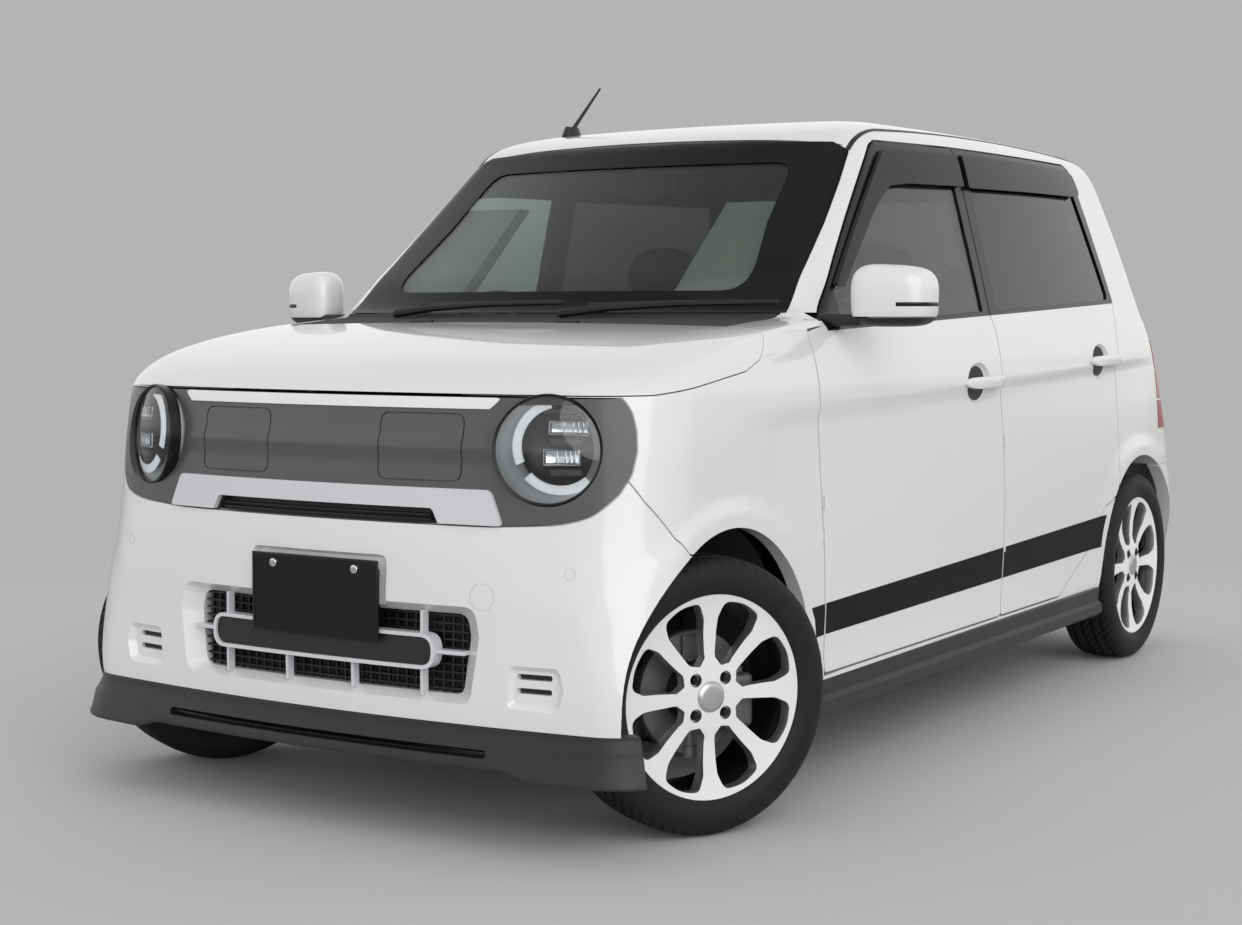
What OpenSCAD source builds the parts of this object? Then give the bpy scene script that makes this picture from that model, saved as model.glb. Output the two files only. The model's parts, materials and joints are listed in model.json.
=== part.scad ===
// Small boxy city car: body panels, glass, doors, cabin, running gear and wheels.
// Origin on the ground under the middle of the car, +X forward, +Y to the car's left, +Z up.

/* [Overall size] */
// Length over the front lip and the rear bumper
body_length = 3395; // [3300:5:3480]
// Width of the body without mirrors
body_width = 1475; // [1440:5:1500]
// Height of the roof above the ground
body_height = 1545; // [1500:5:1600]
// Distance between the axles
wheelbase = 2520; // [2480:5:2560]
// Distance between the wheel centres of one axle
track = 1304; // [1280:2:1310]

/* [Wheels] */
// Outer diameter of the tyre
tyre_d = 562; // [550:2:580]
// Width of the tyre
tyre_w = 165; // [145:5:175]
// Diameter over the rim flanges
rim_d = 408; // [400:1:412]
// Number of spokes
spokes = 8; // [5:1:10]
// Pitch circle of the wheel nuts
nut_pcd = 100; // [98:1:110]
// Number of wheel nuts
nuts = 4; // [3:1:5]
// Spindle radius
spindle_r = 15; // [12:0.5:18]
// Steered angle of the front wheels in the built pose, to the car's right
steer_rest = 26; // [0:1:30]
// Kingpin radius
kingpin_r = 11; // [9:0.5:13]
// Distance of the kingpin inboard of the wheel's centre plane
kingpin_in = 20; // [16:1:24]

/* [Body] */
// Thickness of a door below the window line
door_t = 60; // [50:1:70]
// Thickness of the window frames and the roof
frame_t = 26; // [22:1:30]
// Thickness of the sills and the rear quarters
side_t = 100; // [90:1:110]
// Thickness of the roof rails and pillars
rail_t = 54; // [48:1:60]
// Width of the lip between the rear arch and the rear door
lip_w = 50; // [44:1:56]
// Thickness of fenders, bonnet and bumpers
panel_t = 30; // [24:1:36]
// Thickness of the glass
glass_t = 5; // [4:0.5:8]
// Gap round a moving panel
gap = 10; // [9:0.5:12]
// Gap between fixed panels
seam = 0.4; // [0.2:0.1:0.8]
// Radius of the wheel arches
arch_r = 335; // [328:1:342]

/* [Front] */
// Diameter of a headlamp
lamp_d = 212; // [196:2:220]
// Distance of a headlamp from the middle
lamp_y = 513; // [500:1:525]
// Height of a headlamp
lamp_z = 782; // [770:1:792]
// Outward turn of a headlamp
lamp_turn = 24; // [16:1:30]
// Distance between the number plate screws
plate_pitch = 210; // [200:5:220]
// Radius of the number plate screw holes
plate_hole_r = 3.5; // [3:0.25:4.5]

/* [Cabin] */
// Steering wheel diameter
helm_d = 370; // [350:5:390]
// Tilt of the steering wheel
helm_tilt = 26; // [20:1:34]
// Width of a front seat
seat_w = 470; // [430:5:500]

/* [Hidden] */
$fn = 48;

// Stretch of the body against its drawn size
kx = body_length / 3395;
ky = body_width / 1475;
kz = body_height / 1545;
axle_x = wheelbase / 2;
wheel_y = track / 2;
wheel_z = tyre_d / 2;
tyre_r = tyre_d / 2;
rim_r = rim_d / 2;
king_y = wheel_y - kingpin_in;
running = 0.05;
// Hinge pins fill the gap but for the seam on both sides
pin_r = gap / 2 - seam;
belt_z = 1000 * kz;

white = [0.93, 0.93, 0.92];
black = [0.06, 0.06, 0.065];
dark = [0.2, 0.2, 0.21];
silver = [0.72, 0.73, 0.75];
clear = [0.25, 0.32, 0.33, 0.6];
steel = [0.35, 0.36, 0.38];

// Body sections from the ground up, one row a level:
// height, front x, front bow, front corner radius, front half width,
// middle half width, rear half width, rear corner radius, rear bow, rear x
Z = 0;
XF = 1;
BF = 2;
RF = 3;
WF = 4;
WM = 5;
WR = 6;
RR = 7;
BR = 8;
XR = 9;
LEVELS = [
  [190, 1648, 62, 120, 716, 712, 692, 150, 40, -1640],
  [235, 1660, 62, 122, 727, 722, 704, 150, 40, -1668],
  [330, 1666, 68, 135, 732, 731, 718, 150, 40, -1688],
  [450, 1666, 82, 165, 734, 736, 722, 150, 40, -1694],
  [560, 1661, 92, 190, 735, 737.5, 722, 150, 42, -1690],
  [650, 1654, 97, 200, 735, 737.5, 720, 150, 45, -1668],
  [760, 1644, 98, 205, 734, 736.5, 716, 155, 48, -1640],
  [850, 1632, 98, 205, 730, 733, 709, 160, 50, -1618],
  [885, 1624, 98, 205, 728, 731, 706, 160, 52, -1609],
  [905, 1606, 98, 200, 725, 729, 704, 162, 53, -1604],
  [925, 1576, 98, 195, 721, 727, 702, 165, 54, -1599],
  [950, 1518, 99, 190, 716, 723, 699, 168, 56, -1592],
  [975, 1420, 102, 180, 710, 718, 695, 170, 58, -1585],
  [995, 1305, 106, 168, 706, 714, 691, 172, 60, -1579],
  [1010, 1180, 112, 150, 702, 710, 688, 175, 60, -1574],
  [1022, 1050, 120, 130, 697, 706, 685, 177, 61, -1569],
  [1032, 938, 125, 110, 692, 702, 682, 178, 62, -1566],
  [1130, 812, 125, 95, 664, 680, 660, 180, 65, -1530],
  [1240, 680, 120, 90, 635, 655, 634, 180, 65, -1487],
  [1350, 549, 110, 88, 608, 630, 606, 180, 65, -1440],
  [1420, 465, 100, 88, 590, 613, 588, 180, 65, -1404],
  [1455, 420, 90, 90, 577, 601, 576, 185, 62, -1375],
  [1480, 370, 80, 95, 557, 584, 560, 190, 55, -1335],
  [1500, 300, 70, 100, 524, 556, 532, 195, 50, -1275],
  [1518, 200, 60, 110, 466, 500, 480, 200, 42, -1180],
  [1532, 70, 50, 110, 376, 405, 388, 190, 30, -1030],
  [1541, -90, 35, 100, 255, 280, 262, 150, 20, -820],
  [1545, -290, 15, 50, 105, 115, 105, 60, 8, -560]];
// Steps of one half ring: along the front, round a corner, along the side
front_n = 5;
corner_n = 6;
side_n = 6;

function mix(a, b, k) = a + (b - a) * k;
function ramp(v, a, b) = min(1, max(0, (v - a) / (b - a)));
// Thickness at a height: thick walls below the window line, slim frames above it
function skin_t(z, low, high) = mix(low, high, ramp(z, 955, 1035));
// Start of a rounded corner: side step, start angle, centre
function corner(x0, bow, r, w) =
  let (y0 = w - 0.85 * r, a0 = atan(2 * bow * y0 / (w * w)), xe = x0 - bow * pow(y0 / w, 2))
  [y0, a0, xe - r * cos(a0), y0 - r * sin(a0)];
// Half outline of one level from the front middle to the rear middle, set in by t
function half_ring(v, t) =
  let (
    xf = v[XF] * kx - t, xr = v[XR] * kx + t,
    wf = v[WF] * ky - t, wm = v[WM] * ky - t, wr = v[WR] * ky - t,
    rf = max(v[RF] - t, 20), rr = max(v[RR] - t, 20),
    f = corner(xf, v[BF], rf, wf), b = corner(-xr, v[BR], rr, wr),
    ye = f[3] + rf, yr = b[3] + rr)
  concat(
    [for (i = [0:front_n - 1]) let (y = f[0] * i / front_n) [xf - v[BF] * pow(y / wf, 2), y]],
    [for (i = [0:corner_n]) let (a = mix(f[1], 90, i / corner_n)) [f[2] + rf * cos(a), f[3] + rf * sin(a)]],
    [for (i = [1:side_n - 1]) let (k = i / side_n)
      [mix(f[2], -b[2], k), mix(ye, yr, k) + (wm - (ye + yr) / 2) * 4 * k * (1 - k)]],
    [for (i = [corner_n:-1:0]) let (a = mix(b[1], 90, i / corner_n)) [-b[2] - rr * cos(a),
    b[3] + rr * sin(a)]],
    [for (i = [front_n - 1:-1:0]) let (y = b[0] * i / front_n) [xr + v[BR] * pow(y / wr, 2), y]]);
// Whole outline of one level as points in space
function ring(v, low, high) =
  let (
    t = skin_t(v[Z], low, high),
    z = v[Z] * kz - t * ramp(v[Z], 780, 930),
    h = half_ring(v, t),
    n = len(h))
  concat(
    [for (p = h) [p[0], p[1], z]],
    [for (i = [n - 2:-1:1]) [h[i][0], -h[i][1], z]]);
// Row of the section table at any height
function level(z) =
  let (i = max([for (k = [0:len(LEVELS) - 2]) if (LEVELS[k][Z] <= z) k]),
    k = (z - LEVELS[i][Z]) / (LEVELS[i + 1][Z] - LEVELS[i][Z]))
  [for (c = [Z:XR]) mix(LEVELS[i][c], LEVELS[i + 1][c], k)];
// Front skin at a height and a side step
function nose_x(z, y) = let (v = level(z)) v[XF] * kx - v[BF] * pow(y / (v[WF] * ky), 2);
// Half width of the middle of the body at a height
function flank_y(z) = level(z)[WM] * ky;

module slab(a, b) {
  n = len(a);
  hull()
    polyhedron(points = concat(a, b), faces = [[for (i = [0:n - 1]) i],
      [for (i = [0:n - 1]) 2 * n - 1 - i]]);
}
// Closed body form set in by a low and a high thickness, from the first to the last level
module form(low = 0, high = 0, drop = 0) {
  rings = [for (v = LEVELS) ring(v, low, high)];
  union() {
    for (i = [0:len(LEVELS) - 2])
      slab(rings[i], rings[i + 1]);
    if (drop > 0)
      slab([for (p = rings[0]) [p[0], p[1], p[2] - drop]], rings[0]);
  }
}
module shell(low, high) {
  difference() {
    form();
    form(low, high, 60);
  }
}
// Prism of a side view outline between two side steps
module side_prism(y0, y1) {
  translate([0, y1, 0])
    rotate([90, 0, 0])
      linear_extrude(y1 - y0)
        children();
}
// Prism of a front view outline between two x positions
module front_prism(x0, x1) {
  translate([x0, 0, 0])
    rotate([90, 0, 90])
      linear_extrude(x1 - x0)
        children();
}
module flip(s) {
  if (s > 0)
    children();
  else
    mirror([0, 1, 0])
      children();
}
module outline(points, out = 0) {
  offset(delta = out)
    polygon([for (p = points) [p[0] * kx, p[1] * kz]]);
}

// Side view outlines, x and z
fd_pts = [[847, 268], [849, 424], [862, 770], [872, 985], [862, 1000], [800, 1009], [774, 1022],
  [306, 1438], [280, 1450], [-123, 1459], [-135, 1027], [-155, 741], [-155, 268]];
rd_pts = [[-165, 268], [-165, 741], [-145, 1027], [-133, 1459], [-960, 1466], [-992, 1452], [-1122, 1078],
  [-1094, 985], [-1066, 860], [-1052, 620], [-1040, 520], [-930, 490], [-800, 372], [-640, 292],
  [-590, 268]];
fw_pts = [[672, 1015], [672, 1098], [300, 1404], [276, 1414], [-84, 1424], [-97, 1036]];
rw_pts = [[-190, 1042], [-176, 1428], [-930, 1436], [-958, 1424], [-1086, 1090], [-1074, 1074]];
ws_pts = [[822, 1041], [363, 1441], [380, 1456], [440, 1474], [1200, 1474], [1200, 1041]];
bo_pts = [[1760, 889], [1560, 888], [1480, 889], [1358, 904], [1176, 928], [1112, 950], [1082, 974],
  [1064, 1000],
  [1061, 1012], [1061, 1120], [1760, 1120]];
gp_pts = [[1760, 633], [1626, 634], [1602, 642], [1581, 661], [1550, 703], [1532, 738], [1521, 780],
  [1518, 820],
  [1520, 854], [1528, 879], [1760, 879]];
fb_pts = [[1760, 238], [1760, 740], [1545, 740], [1515, 684], [1460, 612], [1424, 578], [1300, 578],
  [1300, 238]];
fe_pts = [[857, 262], [859, 424], [872, 770], [882, 990], [868, 1010], [790, 1018], [790, 1050],
  [1200, 1060],
  [1570, 910], [1570, 760], [1545, 740], [1515, 684], [1460, 612], [1424, 578], [1300, 578], [925, 262]];
rb_pts = [[-1760, 195], [-1760, 578.6], [-1430, 578.6], [-1300, 300], [-1300, 195]];
sd_pts = [[925, 195], [925, 256], [700, 262], [760, 1043], [840, 1043], [840, 1600], [-1760, 1600],
  [-1760, 579],
  [-1300, 579], [-1300, 195]];
// Rear view outlines, y and z
tg_pts = [[-598, 590], [598, 590], [606, 960], [562, 1150], [498, 1440], [492, 1600], [-492, 1600],
  [-498, 1440],
  [-562, 1150], [-606, 960]];
tw_pts = [[-540, 1082], [540, 1082], [512, 1180], [462, 1384], [440, 1402], [-440, 1402], [-462, 1384],
  [-512, 1180]];
tl_pts = [[620, 690], [760, 690], [760, 955], [614, 965]];
roof_rear = -1222;
roof_y = 540;
// Reach of cuts that run past the body on all sides
far = 2300;
half = 1000;

module arches(r) {
  for (x = [axle_x, -axle_x])
    translate([x, wheel_z])
      circle(r);
}
// Room of a door in the rear view: outside the cowl below, outside the roof above
module door_room() {
  front_prism(-1300 * kx, 1000 * kx)
    polygon([[600 * ky, 0], [600 * ky, 1030 * kz], [roof_y * ky + 5, 1180 * kz], [roof_y * ky + 5, far],
      [half, far],
      [half, 0]]);
}
// Part of the shell between two side steps, inside an outline
module flank(low, high, y0 = 300) {
  intersection() {
    shell(low, high);
    side_prism(y0 * ky, half)
      children();
  }
}

module body_side() {
  difference() {
    flank(side_t, rail_t)
      difference() {
        outline(sd_pts);
        outline(fd_pts, gap);
        difference() {
          outline(rd_pts, gap);
          translate([-axle_x, wheel_z])
            circle(arch_r + lip_w - gap);
        }
        outline(ws_pts, seam);
        arches(arch_r);
      }
    // Bed of the roof panel
    difference() {
      translate([roof_rear * kx, -1, 1436 * kz - seam])
        cube([far, roof_y * ky + 1, 300 * kz]);
      form(frame_t + seam, frame_t + seam);
    }
    translate([-far, -1, 1300 * kz])
      cube([far + 700 * kx, 424 * ky, 400 * kz]);
    tail_cut(gap);
    lamp_cut(seam);
    translate([300 * kx, 0, 1300 * kz])
      cube([600 * kx, 480 * ky, 400 * kz]);
  }
  // Post behind the meeting of the doors
  intersection() {
    difference() {
      form(door_t + 10, frame_t + 9);
      form(side_t - 4, rail_t - 3, 20);
    }
    side_prism(300 * ky, half)
      outline([[-210, 221], [-110, 221], [-80, 1030], [-70, 1484], [-190, 1484], [-180, 1030]]);
  }
}
module body_sides() {
  color(white)
    for (s = [1, -1])
      flip(s)
        body_side();
}
module tail_cut(out) {
  intersection() {
    front_prism(-far, roof_rear * kx + out)
      offset(delta = out)
        polygon([for (p = tg_pts) [p[0] * ky, p[1] * kz]]);
    translate([-far, -half, 0])
      cube([far - 800 * kx, 2 * half, far]);
  }
}
module lamp_cut(out) {
  front_prism(-far, -1470 * kx)
    offset(delta = out)
      polygon([for (p = tl_pts) [p[0] * ky, p[1] * kz]]);
}
module roof() {
  color(white)
    difference() {
      intersection() {
        shell(frame_t, frame_t);
        translate([roof_rear * kx, -roof_y * ky + seam, 1436 * kz])
          cube([far, 2 * roof_y * ky - 2 * seam, 300 * kz]);
      }
      side_prism(-half, half)
        outline(ws_pts, seam);
      translate([700 * kx, -half, 1300 * kz])
        cube([far, 2 * half, 300 * kz]);
    }
}
module windscreen() {
  color(clear)
    intersection() {
      shell(glass_t, glass_t);
      side_prism(-half, half)
        outline(ws_pts);
      translate([200 * kx, -half, 1000 * kz])
        cube([900 * kx, 2 * half, 600 * kz]);
    }
}
// Top and bottom of the front rails
rail_top = 265;
rail_low = 215;
// Half width of the cowl between the fenders
cowl_y = 599 * ky;
module bulkhead() {
  color(dark) {
    intersection() {
      shell(panel_t, panel_t);
      translate([780 * kx, -cowl_y, 985 * kz])
        cube([(bonnet_x - 780) * kx - gap / 2 - seam, 2 * cowl_y, 55.6 * kz]);
    }
    translate([889 * kx, -cowl_y, rail_top + seam])
      cube([22, 2 * cowl_y, 1004.4 * kz - rail_top - seam]);
  }
}
module fender() {
  intersection() {
    difference() {
      flank(panel_t, panel_t)
        difference() {
          outline(fe_pts, -seam / 2);
          outline(bo_pts, gap);
          outline(gp_pts, seam);
          arches(arch_r);
        }
      translate([600 * kx, -1, 900 * kz])
        cube([451 * kx, 641 * ky, 300 * kz]);
    }
    translate([500 * kx, 0, 0])
      cube([far, half, 1042.4 * kz]);
  }
}
module fenders() {
  color(white)
    difference() {
      for (s = [1, -1])
        flip(s)
          fender();
      lamp_bores();
    }
}
// Hinge line of the bonnet at its rear edge
bonnet_x = 1056;
function bonnet_z() = mix(1010, 1022, (1180 - bonnet_x) / 130) * kz;
module bonnet() {
  color(white)
    intersection() {
      shell(panel_t, panel_t);
      side_prism(-half, half)
        outline(bo_pts);
    }
}
module front_bumper() {
  color(white)
    difference() {
      intersection() {
        shell(panel_t, panel_t);
        side_prism(-half, half)
          difference() {
            outline(fb_pts, -seam / 2);
            outline(gp_pts, seam);
            arches(arch_r);
          }
      }
      lamp_bores();
      // Pockets pressed into the skin: grille mouth, number plate and lamps
      intersection() {
        skin_layer(pocket_t);
        union() {
          front_cut(mouth_z)
            rounded_box(760, 190, 26);
          front_cut(plate_z)
            rounded_box(352, 194, 16);
          for (s = [1, -1])
            translate([0, s * 523 * ky, 0])
              front_cut(329)
                rounded_box(122, 86, 14);
        }
      }
      front_cut(mouth_z - 3)
        rounded_box(mouth_w, mouth_h, 22);
      for (s = [1, -1], z = [322, 349])
        translate([0, s * 518 * ky, 0])
          front_cut(z)
            rounded_box(74, 11, 5);
    }
}
// Grille mouth and number plate on the bumper
mouth_z = 382;
mouth_w = 688;
mouth_h = 154;
plate_z = 471;
pocket_t = 12;
module rounded_box(w, h, r) {
  offset(r = r, $fn = 16)
    square([w - 2 * r, h - 2 * r], center = true);
}
// Outer layer of the body form to a depth, reaching past the skin
module skin_layer(depth) {
  difference() {
    form(-6, -6);
    form(depth, depth, 60);
  }
}
// Prism through the nose at a height
module front_cut(z, from = 1500) {
  translate([from * kx, 0, z * kz])
    rotate([90, 0, 90])
      linear_extrude(300)
        children();
}
module grille_panel() {
  color(dark)
    difference() {
      intersection() {
        shell(panel_t, panel_t);
        side_prism(-half, half)
          outline(gp_pts);
      }
      lamp_bores();
    }
}
// Room for both headlamps
module lamp_bores() {
  for (s = [1, -1])
    lamp_place(s)
      cylinder(d = lamp_d + 2 * seam, h = 400, center = true, $fn = 48);
}
module lamp_place(s) {
  translate([nose_x(lamp_z, lamp_y * ky), s * lamp_y * ky, lamp_z * kz])
    rotate([0, 0, s * lamp_turn])
      rotate([0, 90, 0])
        children();
}
module headlamps() {
  lamp_r = lamp_d / 2;
  for (s = [1, -1])
    lamp_place(s) {
      color(silver)
        rotate_extrude()
          polygon([[0, -70], [lamp_r, -70], [lamp_r, -4], [lamp_r - 4, -1], [lamp_r - 8, -4],
            [lamp_r - 12, -12], [lamp_r - 30, -44], [lamp_r - 50, -56], [0, -56]]);
      // Light guide round the inner side
      color(white)
        for (a = [-s * 60 + 90, -s * 150 + 90])
          rotate([0, 0, a])
            rotate_extrude(angle = 80)
              polygon([[lamp_r - 36, -52], [lamp_r - 20, -36], [lamp_r - 20, -14], [lamp_r - 36, -14]]);
      // Two reflector blocks behind the lens
      color(black)
        for (x = [-20, 20])
          translate([x - 16, s * 22 - 34, -57])
            cube([32, 68, 30]);
      color(clear)
        rotate_extrude()
          polygon([[0, -3], [0, 1], [lamp_r * 0.5, -1.5], [lamp_r - 9, -7], [lamp_r - 9, -11],
            [lamp_r * 0.5, -5.5]]);
    }
}
module lower_grille() {
  mid = mouth_z - 3;
  color(black)
    translate([1666 * (kx - 1), 0, 0])
      difference() {
        union() {
          translate([1560, -mouth_w / 2 + seam, mid * kz - 68])
            cube([12, mouth_w - 2 * seam, 136]);
          for (z = [-54, -27, 0, 27, 54])
            translate([1570, -mouth_w / 2 + seam, mid * kz + z - 3])
              cube([50, mouth_w - 2 * seam, 6]);
          for (y = [-255, -86, 86, 255])
            translate([1570, y - 6, mid * kz - 70])
              cube([84, 12, 140]);
          // Framed bar across the mouth
          translate([1648, 0, mid * kz + 4])
            rotate([90, 0, 90])
              linear_extrude(14)
                difference() {
                  rounded_box(580, 71, 34);
                  rounded_box(564, 55, 26);
                }
          translate([1646, 0, mid * kz + 4])
            rotate([90, 0, 90])
              linear_extrude(8)
                rounded_box(572, 63, 30);
          // Number plate and its bracket
          translate([1571, -165, mouth_z * kz + 42])
            cube([105, 330, 12]);
          translate([1668, -165, mouth_z * kz + 42])
            cube([8, 330, 136]);
        }
        for (y = [-plate_pitch / 2, plate_pitch / 2])
          translate([1600, y, mouth_z * kz + 153])
            rotate([0, 90, 0])
              cylinder(r = plate_hole_r, h = 200);
      }
}
module front_lip() {
  color(dark)
    difference() {
      intersection() {
        union() {
          slab(lip_ring(150, 46), lip_ring(182, 40));
          slab(lip_ring(182, 40), lip_ring(200, 16));
          slab(lip_ring(200, 16), lip_ring(238 - seam / kz, 3));
        }
        translate([1360 * kx, -half, 100 * kz])
          cube([far, 2 * half, 200 * kz]);
      }
      form(90, 90, 60);
      front_cut(197, 1642)
        rounded_box(830, 14, 6);
      side_prism(-half, half)
        arches(arch_r);
    }
}
function lip_ring(z, out) = [for (p = ring(level(max(z, 200)), -out, -out)) [p[0], p[1], z * kz]];
module rear_bumper() {
  color(white)
    intersection() {
      shell(panel_t, panel_t);
      side_prism(-half, half)
        difference() {
          outline(rb_pts);
          arches(arch_r);
        }
    }
}
module tail_lamps() {
  color([0.6, 0.05, 0.05])
    for (s = [1, -1])
      flip(s)
        intersection() {
          shell(50, 50);
          lamp_cut(0);
        }
}
module side_skirts() {
  color(dark)
    for (s = [1, -1])
      flip(s)
        side_skirt();
}
module side_skirt() {
  y = flank_y(235);
  low = 195 * kz - seam;
  translate([-905 * kx, 0, low - 194.6])
    rotate([90, 0, 90])
      linear_extrude(1800 * kx)
        polygon([[y - 60, 172], [y + 6, 172], [y + 20, 182], [y + 20, 206], [y + 8, 216], [y + 10, 250],
          [y + 6, 254],
          [y + 5, 238], [y - 2, 194.6], [y - 60, 194.6]]);
}
module door_front(s) {
  flip(s)
    color(white) {
      intersection() {
        flank(door_t, frame_t)
          difference() {
            outline(fd_pts);
            outline(fw_pts);
          }
        door_room();
        door_cup(5, 868);
      }
      pull(-145, 99, 869);
    }
}
// All but the finger cup behind a door handle
module door_cup(x, z) {
  difference() {
    translate([-far, 0, 0])
      cube([2 * far, half, far]);
    translate([x * kx, flank_y(z) + 4, z * kz])
      scale([74, 24, 54])
        sphere(1, $fn = 20);
  }
}
// Door handle between two places on the skin
module pull(x0, x1, z) {
  y = flank_y(z);
  foot = 36;
  rod([x0 * kx, y - 14, z * kz], [x0 * kx + foot, y + 12, z * kz], 9, 11);
  rod([x0 * kx + foot, y + 12, z * kz], [x1 * kx - foot, y + 12, z * kz], 11, 11);
  rod([x1 * kx - foot, y + 12, z * kz], [x1 * kx, y - 14, z * kz], 11, 9);
}
module door_rear(s) {
  flip(s)
    color(white) {
      intersection() {
        flank(door_t, frame_t)
          difference() {
            outline(rd_pts);
            outline(rw_pts);
            translate([-axle_x, wheel_z])
              circle(arch_r + lip_w);
          }
        door_room();
        door_cup(-925, 905);
      }
      pull(-1070, -829, 908);
    }
}
// Hinge pins in the gaps of the panels, each with the leaf that carries it
front_hinge_x = 860;
rear_hinge_x = -162;
rear_pin_r = 2.6;
pin_h = 30;
leaf_t = 4;
function door_hinge_y() = 737.5 * ky;
module door_pin(x, z, r, y_in) {
  y = door_hinge_y();
  translate([x * kx, y, z * kz])
    cylinder(r = r, h = pin_h);
  translate([x * kx - leaf_t / 2, y_in, z * kz + 4])
    cube([leaf_t, y - y_in, pin_h - 8]);
}
module lid_pin(x, z, way) {
  rotate([90, 0, 0])
    translate([x, z, 0])
      cylinder(r = pin_r, h = 60, center = true);
  translate([min(x, x + way * gap / 2), -25, z - 12])
    cube([gap / 2, 50, 9]);
}
module hinges() {
  color(steel) {
    for (s = [1, -1])
      flip(s) {
        // Height and depth of the foot that bears on the fender
        for (row = [[548, 12.2], [622, 11.5]]) {
          z = row[0];
          foot = row[1];
          door_pin(front_hinge_x, z, pin_r - 1, 690 * ky);
          translate([front_hinge_x * kx - leaf_t / 2, 690 * ky, z * kz + 4])
            cube([28, foot, pin_h - 8]);
        }
        for (z = [430, 700])
          door_pin(rear_hinge_x, z, rear_pin_r, 666.9 * ky);
      }
    for (y = [-200, 200])
      translate([0, y, 0])
        lid_pin(bonnet_x * kx, bonnet_z(), -1);
    for (y = [-120, 120])
      translate([0, y, 0])
        lid_pin(roof_rear * kx - gap / 2, tail_z(), 1);
  }
}
module door_glass(s, points) {
  flip(s)
    color(clear)
      intersection() {
        difference() {
          form(6, 6);
          form(6 + glass_t, 6 + glass_t, 60);
        }
        side_prism(300, 800)
          outline(points, -seam);
      }
}
module wing_mirror(s) {
  flip(s)
    color(white)
      difference() {
        translate([mirror_x * (kx - 1), 720 * (ky - 1), 1040 * (kz - 1)])
          union() {
            hull() {
              translate([mirror_x, 778, 1084])
                scale([0.6, 1, 1.1])
                  sphere(50, $fn = 20);
              translate([mirror_x, 858, 1078])
                scale([0.6, 0.8, 1])
                  sphere(60, $fn = 20);
            }
            hull() {
              translate([mirror_x, 770, 1042])
                cube([60, 90, 16], center = true);
              translate([mirror_x + 26, 680, 1036])
                cube([84, 30, 22], center = true);
            }
          }
        form(-seam, -seam);
      }
}
mirror_x = 716;
module tailgate() {
  color(white)
    difference() {
      intersection() {
        shell(door_t, frame_t);
        tail_cut(0);
        translate([-far, -half, 0])
          cube([far + roof_rear * kx - gap, 2 * half, far]);
      }
      front_prism(-far, -1250 * kx)
        polygon([for (p = tw_pts) [p[0] * ky, p[1] * kz]]);
    }
}
// Height of the tailgate's hinge line, at the middle of the roof's rear edge
function tail_z() = (1500 + 18 * (1275 + roof_rear - gap / 2) / 95) * kz;
module tailgate_glass() {
  color(clear)
    intersection() {
      difference() {
        form(6, 6);
        form(6 + glass_t, 6 + glass_t, 60);
      }
      front_prism(-far, -1250 * kx)
        offset(delta = -seam)
          polygon([for (p = tw_pts) [p[0] * ky, p[1] * kz]]);
    }
}
floor_z = 200;
module floor_pan() {
  color(dark) {
    // Floor, kick up and boot floor
    side_prism(-460 * ky, 460 * ky)
      polygon([[888 * kx, floor_z], [888 * kx, floor_z + 22], [-870, floor_z + 22], [-950, 402],
        [-1560 * kx, 402],
        [-1560 * kx, 384], [-964, 384], [-884, floor_z]]);
    for (s = [1, -1])
      flip(s) {
        // Floor beside the seats up to the sill
        translate([0, 0, floor_z])
          linear_extrude(22)
            intersection() {
              polygon(half_ring(level(200), side_t + seam));
              translate([-800, 450 * ky])
                square([800 + 888 * kx, half]);
            }
        // Front rail
        translate([850, 330, rail_low])
          cube([710, 50, rail_top - rail_low]);
      }
    // Jacking pads
    for (x = [-620, 620], s = [1, -1])
      translate([x - 45, s * 580 * ky - 22, floor_z - 14])
        cube([90, 44, 20]);
    // Radiator beam
    translate([1526, -420, 230])
      cube([30, 840, 60]);
  }
}
module wheel_housings() {
  color(black)
    for (s = [1, -1])
      flip(s) {
        rear_house();
        front_house();
      }
}
module rear_house() {
  translate([-axle_x, 0, wheel_z])
    rotate([90, 0, 180])
      intersection() {
        difference() {
          translate([0, 0, 460.4])
            cylinder(r = arch_r + 14, h = 145);
          translate([0, 0, 466])
            cylinder(r = arch_r + 10, h = 160);
        }
        translate([-400, 55, 400])
          cube([800, 345, 300]);
      }
}
// Place and radius of the front struts
strut_y = 506;
strut_r = 24;
module front_house() {
  translate([axle_x, 0, wheel_z])
    rotate([90, 0, 180])
      intersection() {
        difference() {
          translate([0, 0, 420])
            cylinder(r = arch_r + 13.6, h = 240);
          translate([0, 0, 400])
            cylinder(r = arch_r + 10, h = 320);
          // Passage of the strut
          translate([0, 300, strut_y])
            rotate([-90, 0, 0])
              cylinder(r = strut_r + 2, h = 100);
        }
        translate([-255, 0, 400])
          cube([655, 400, 320]);
      }
}
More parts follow.
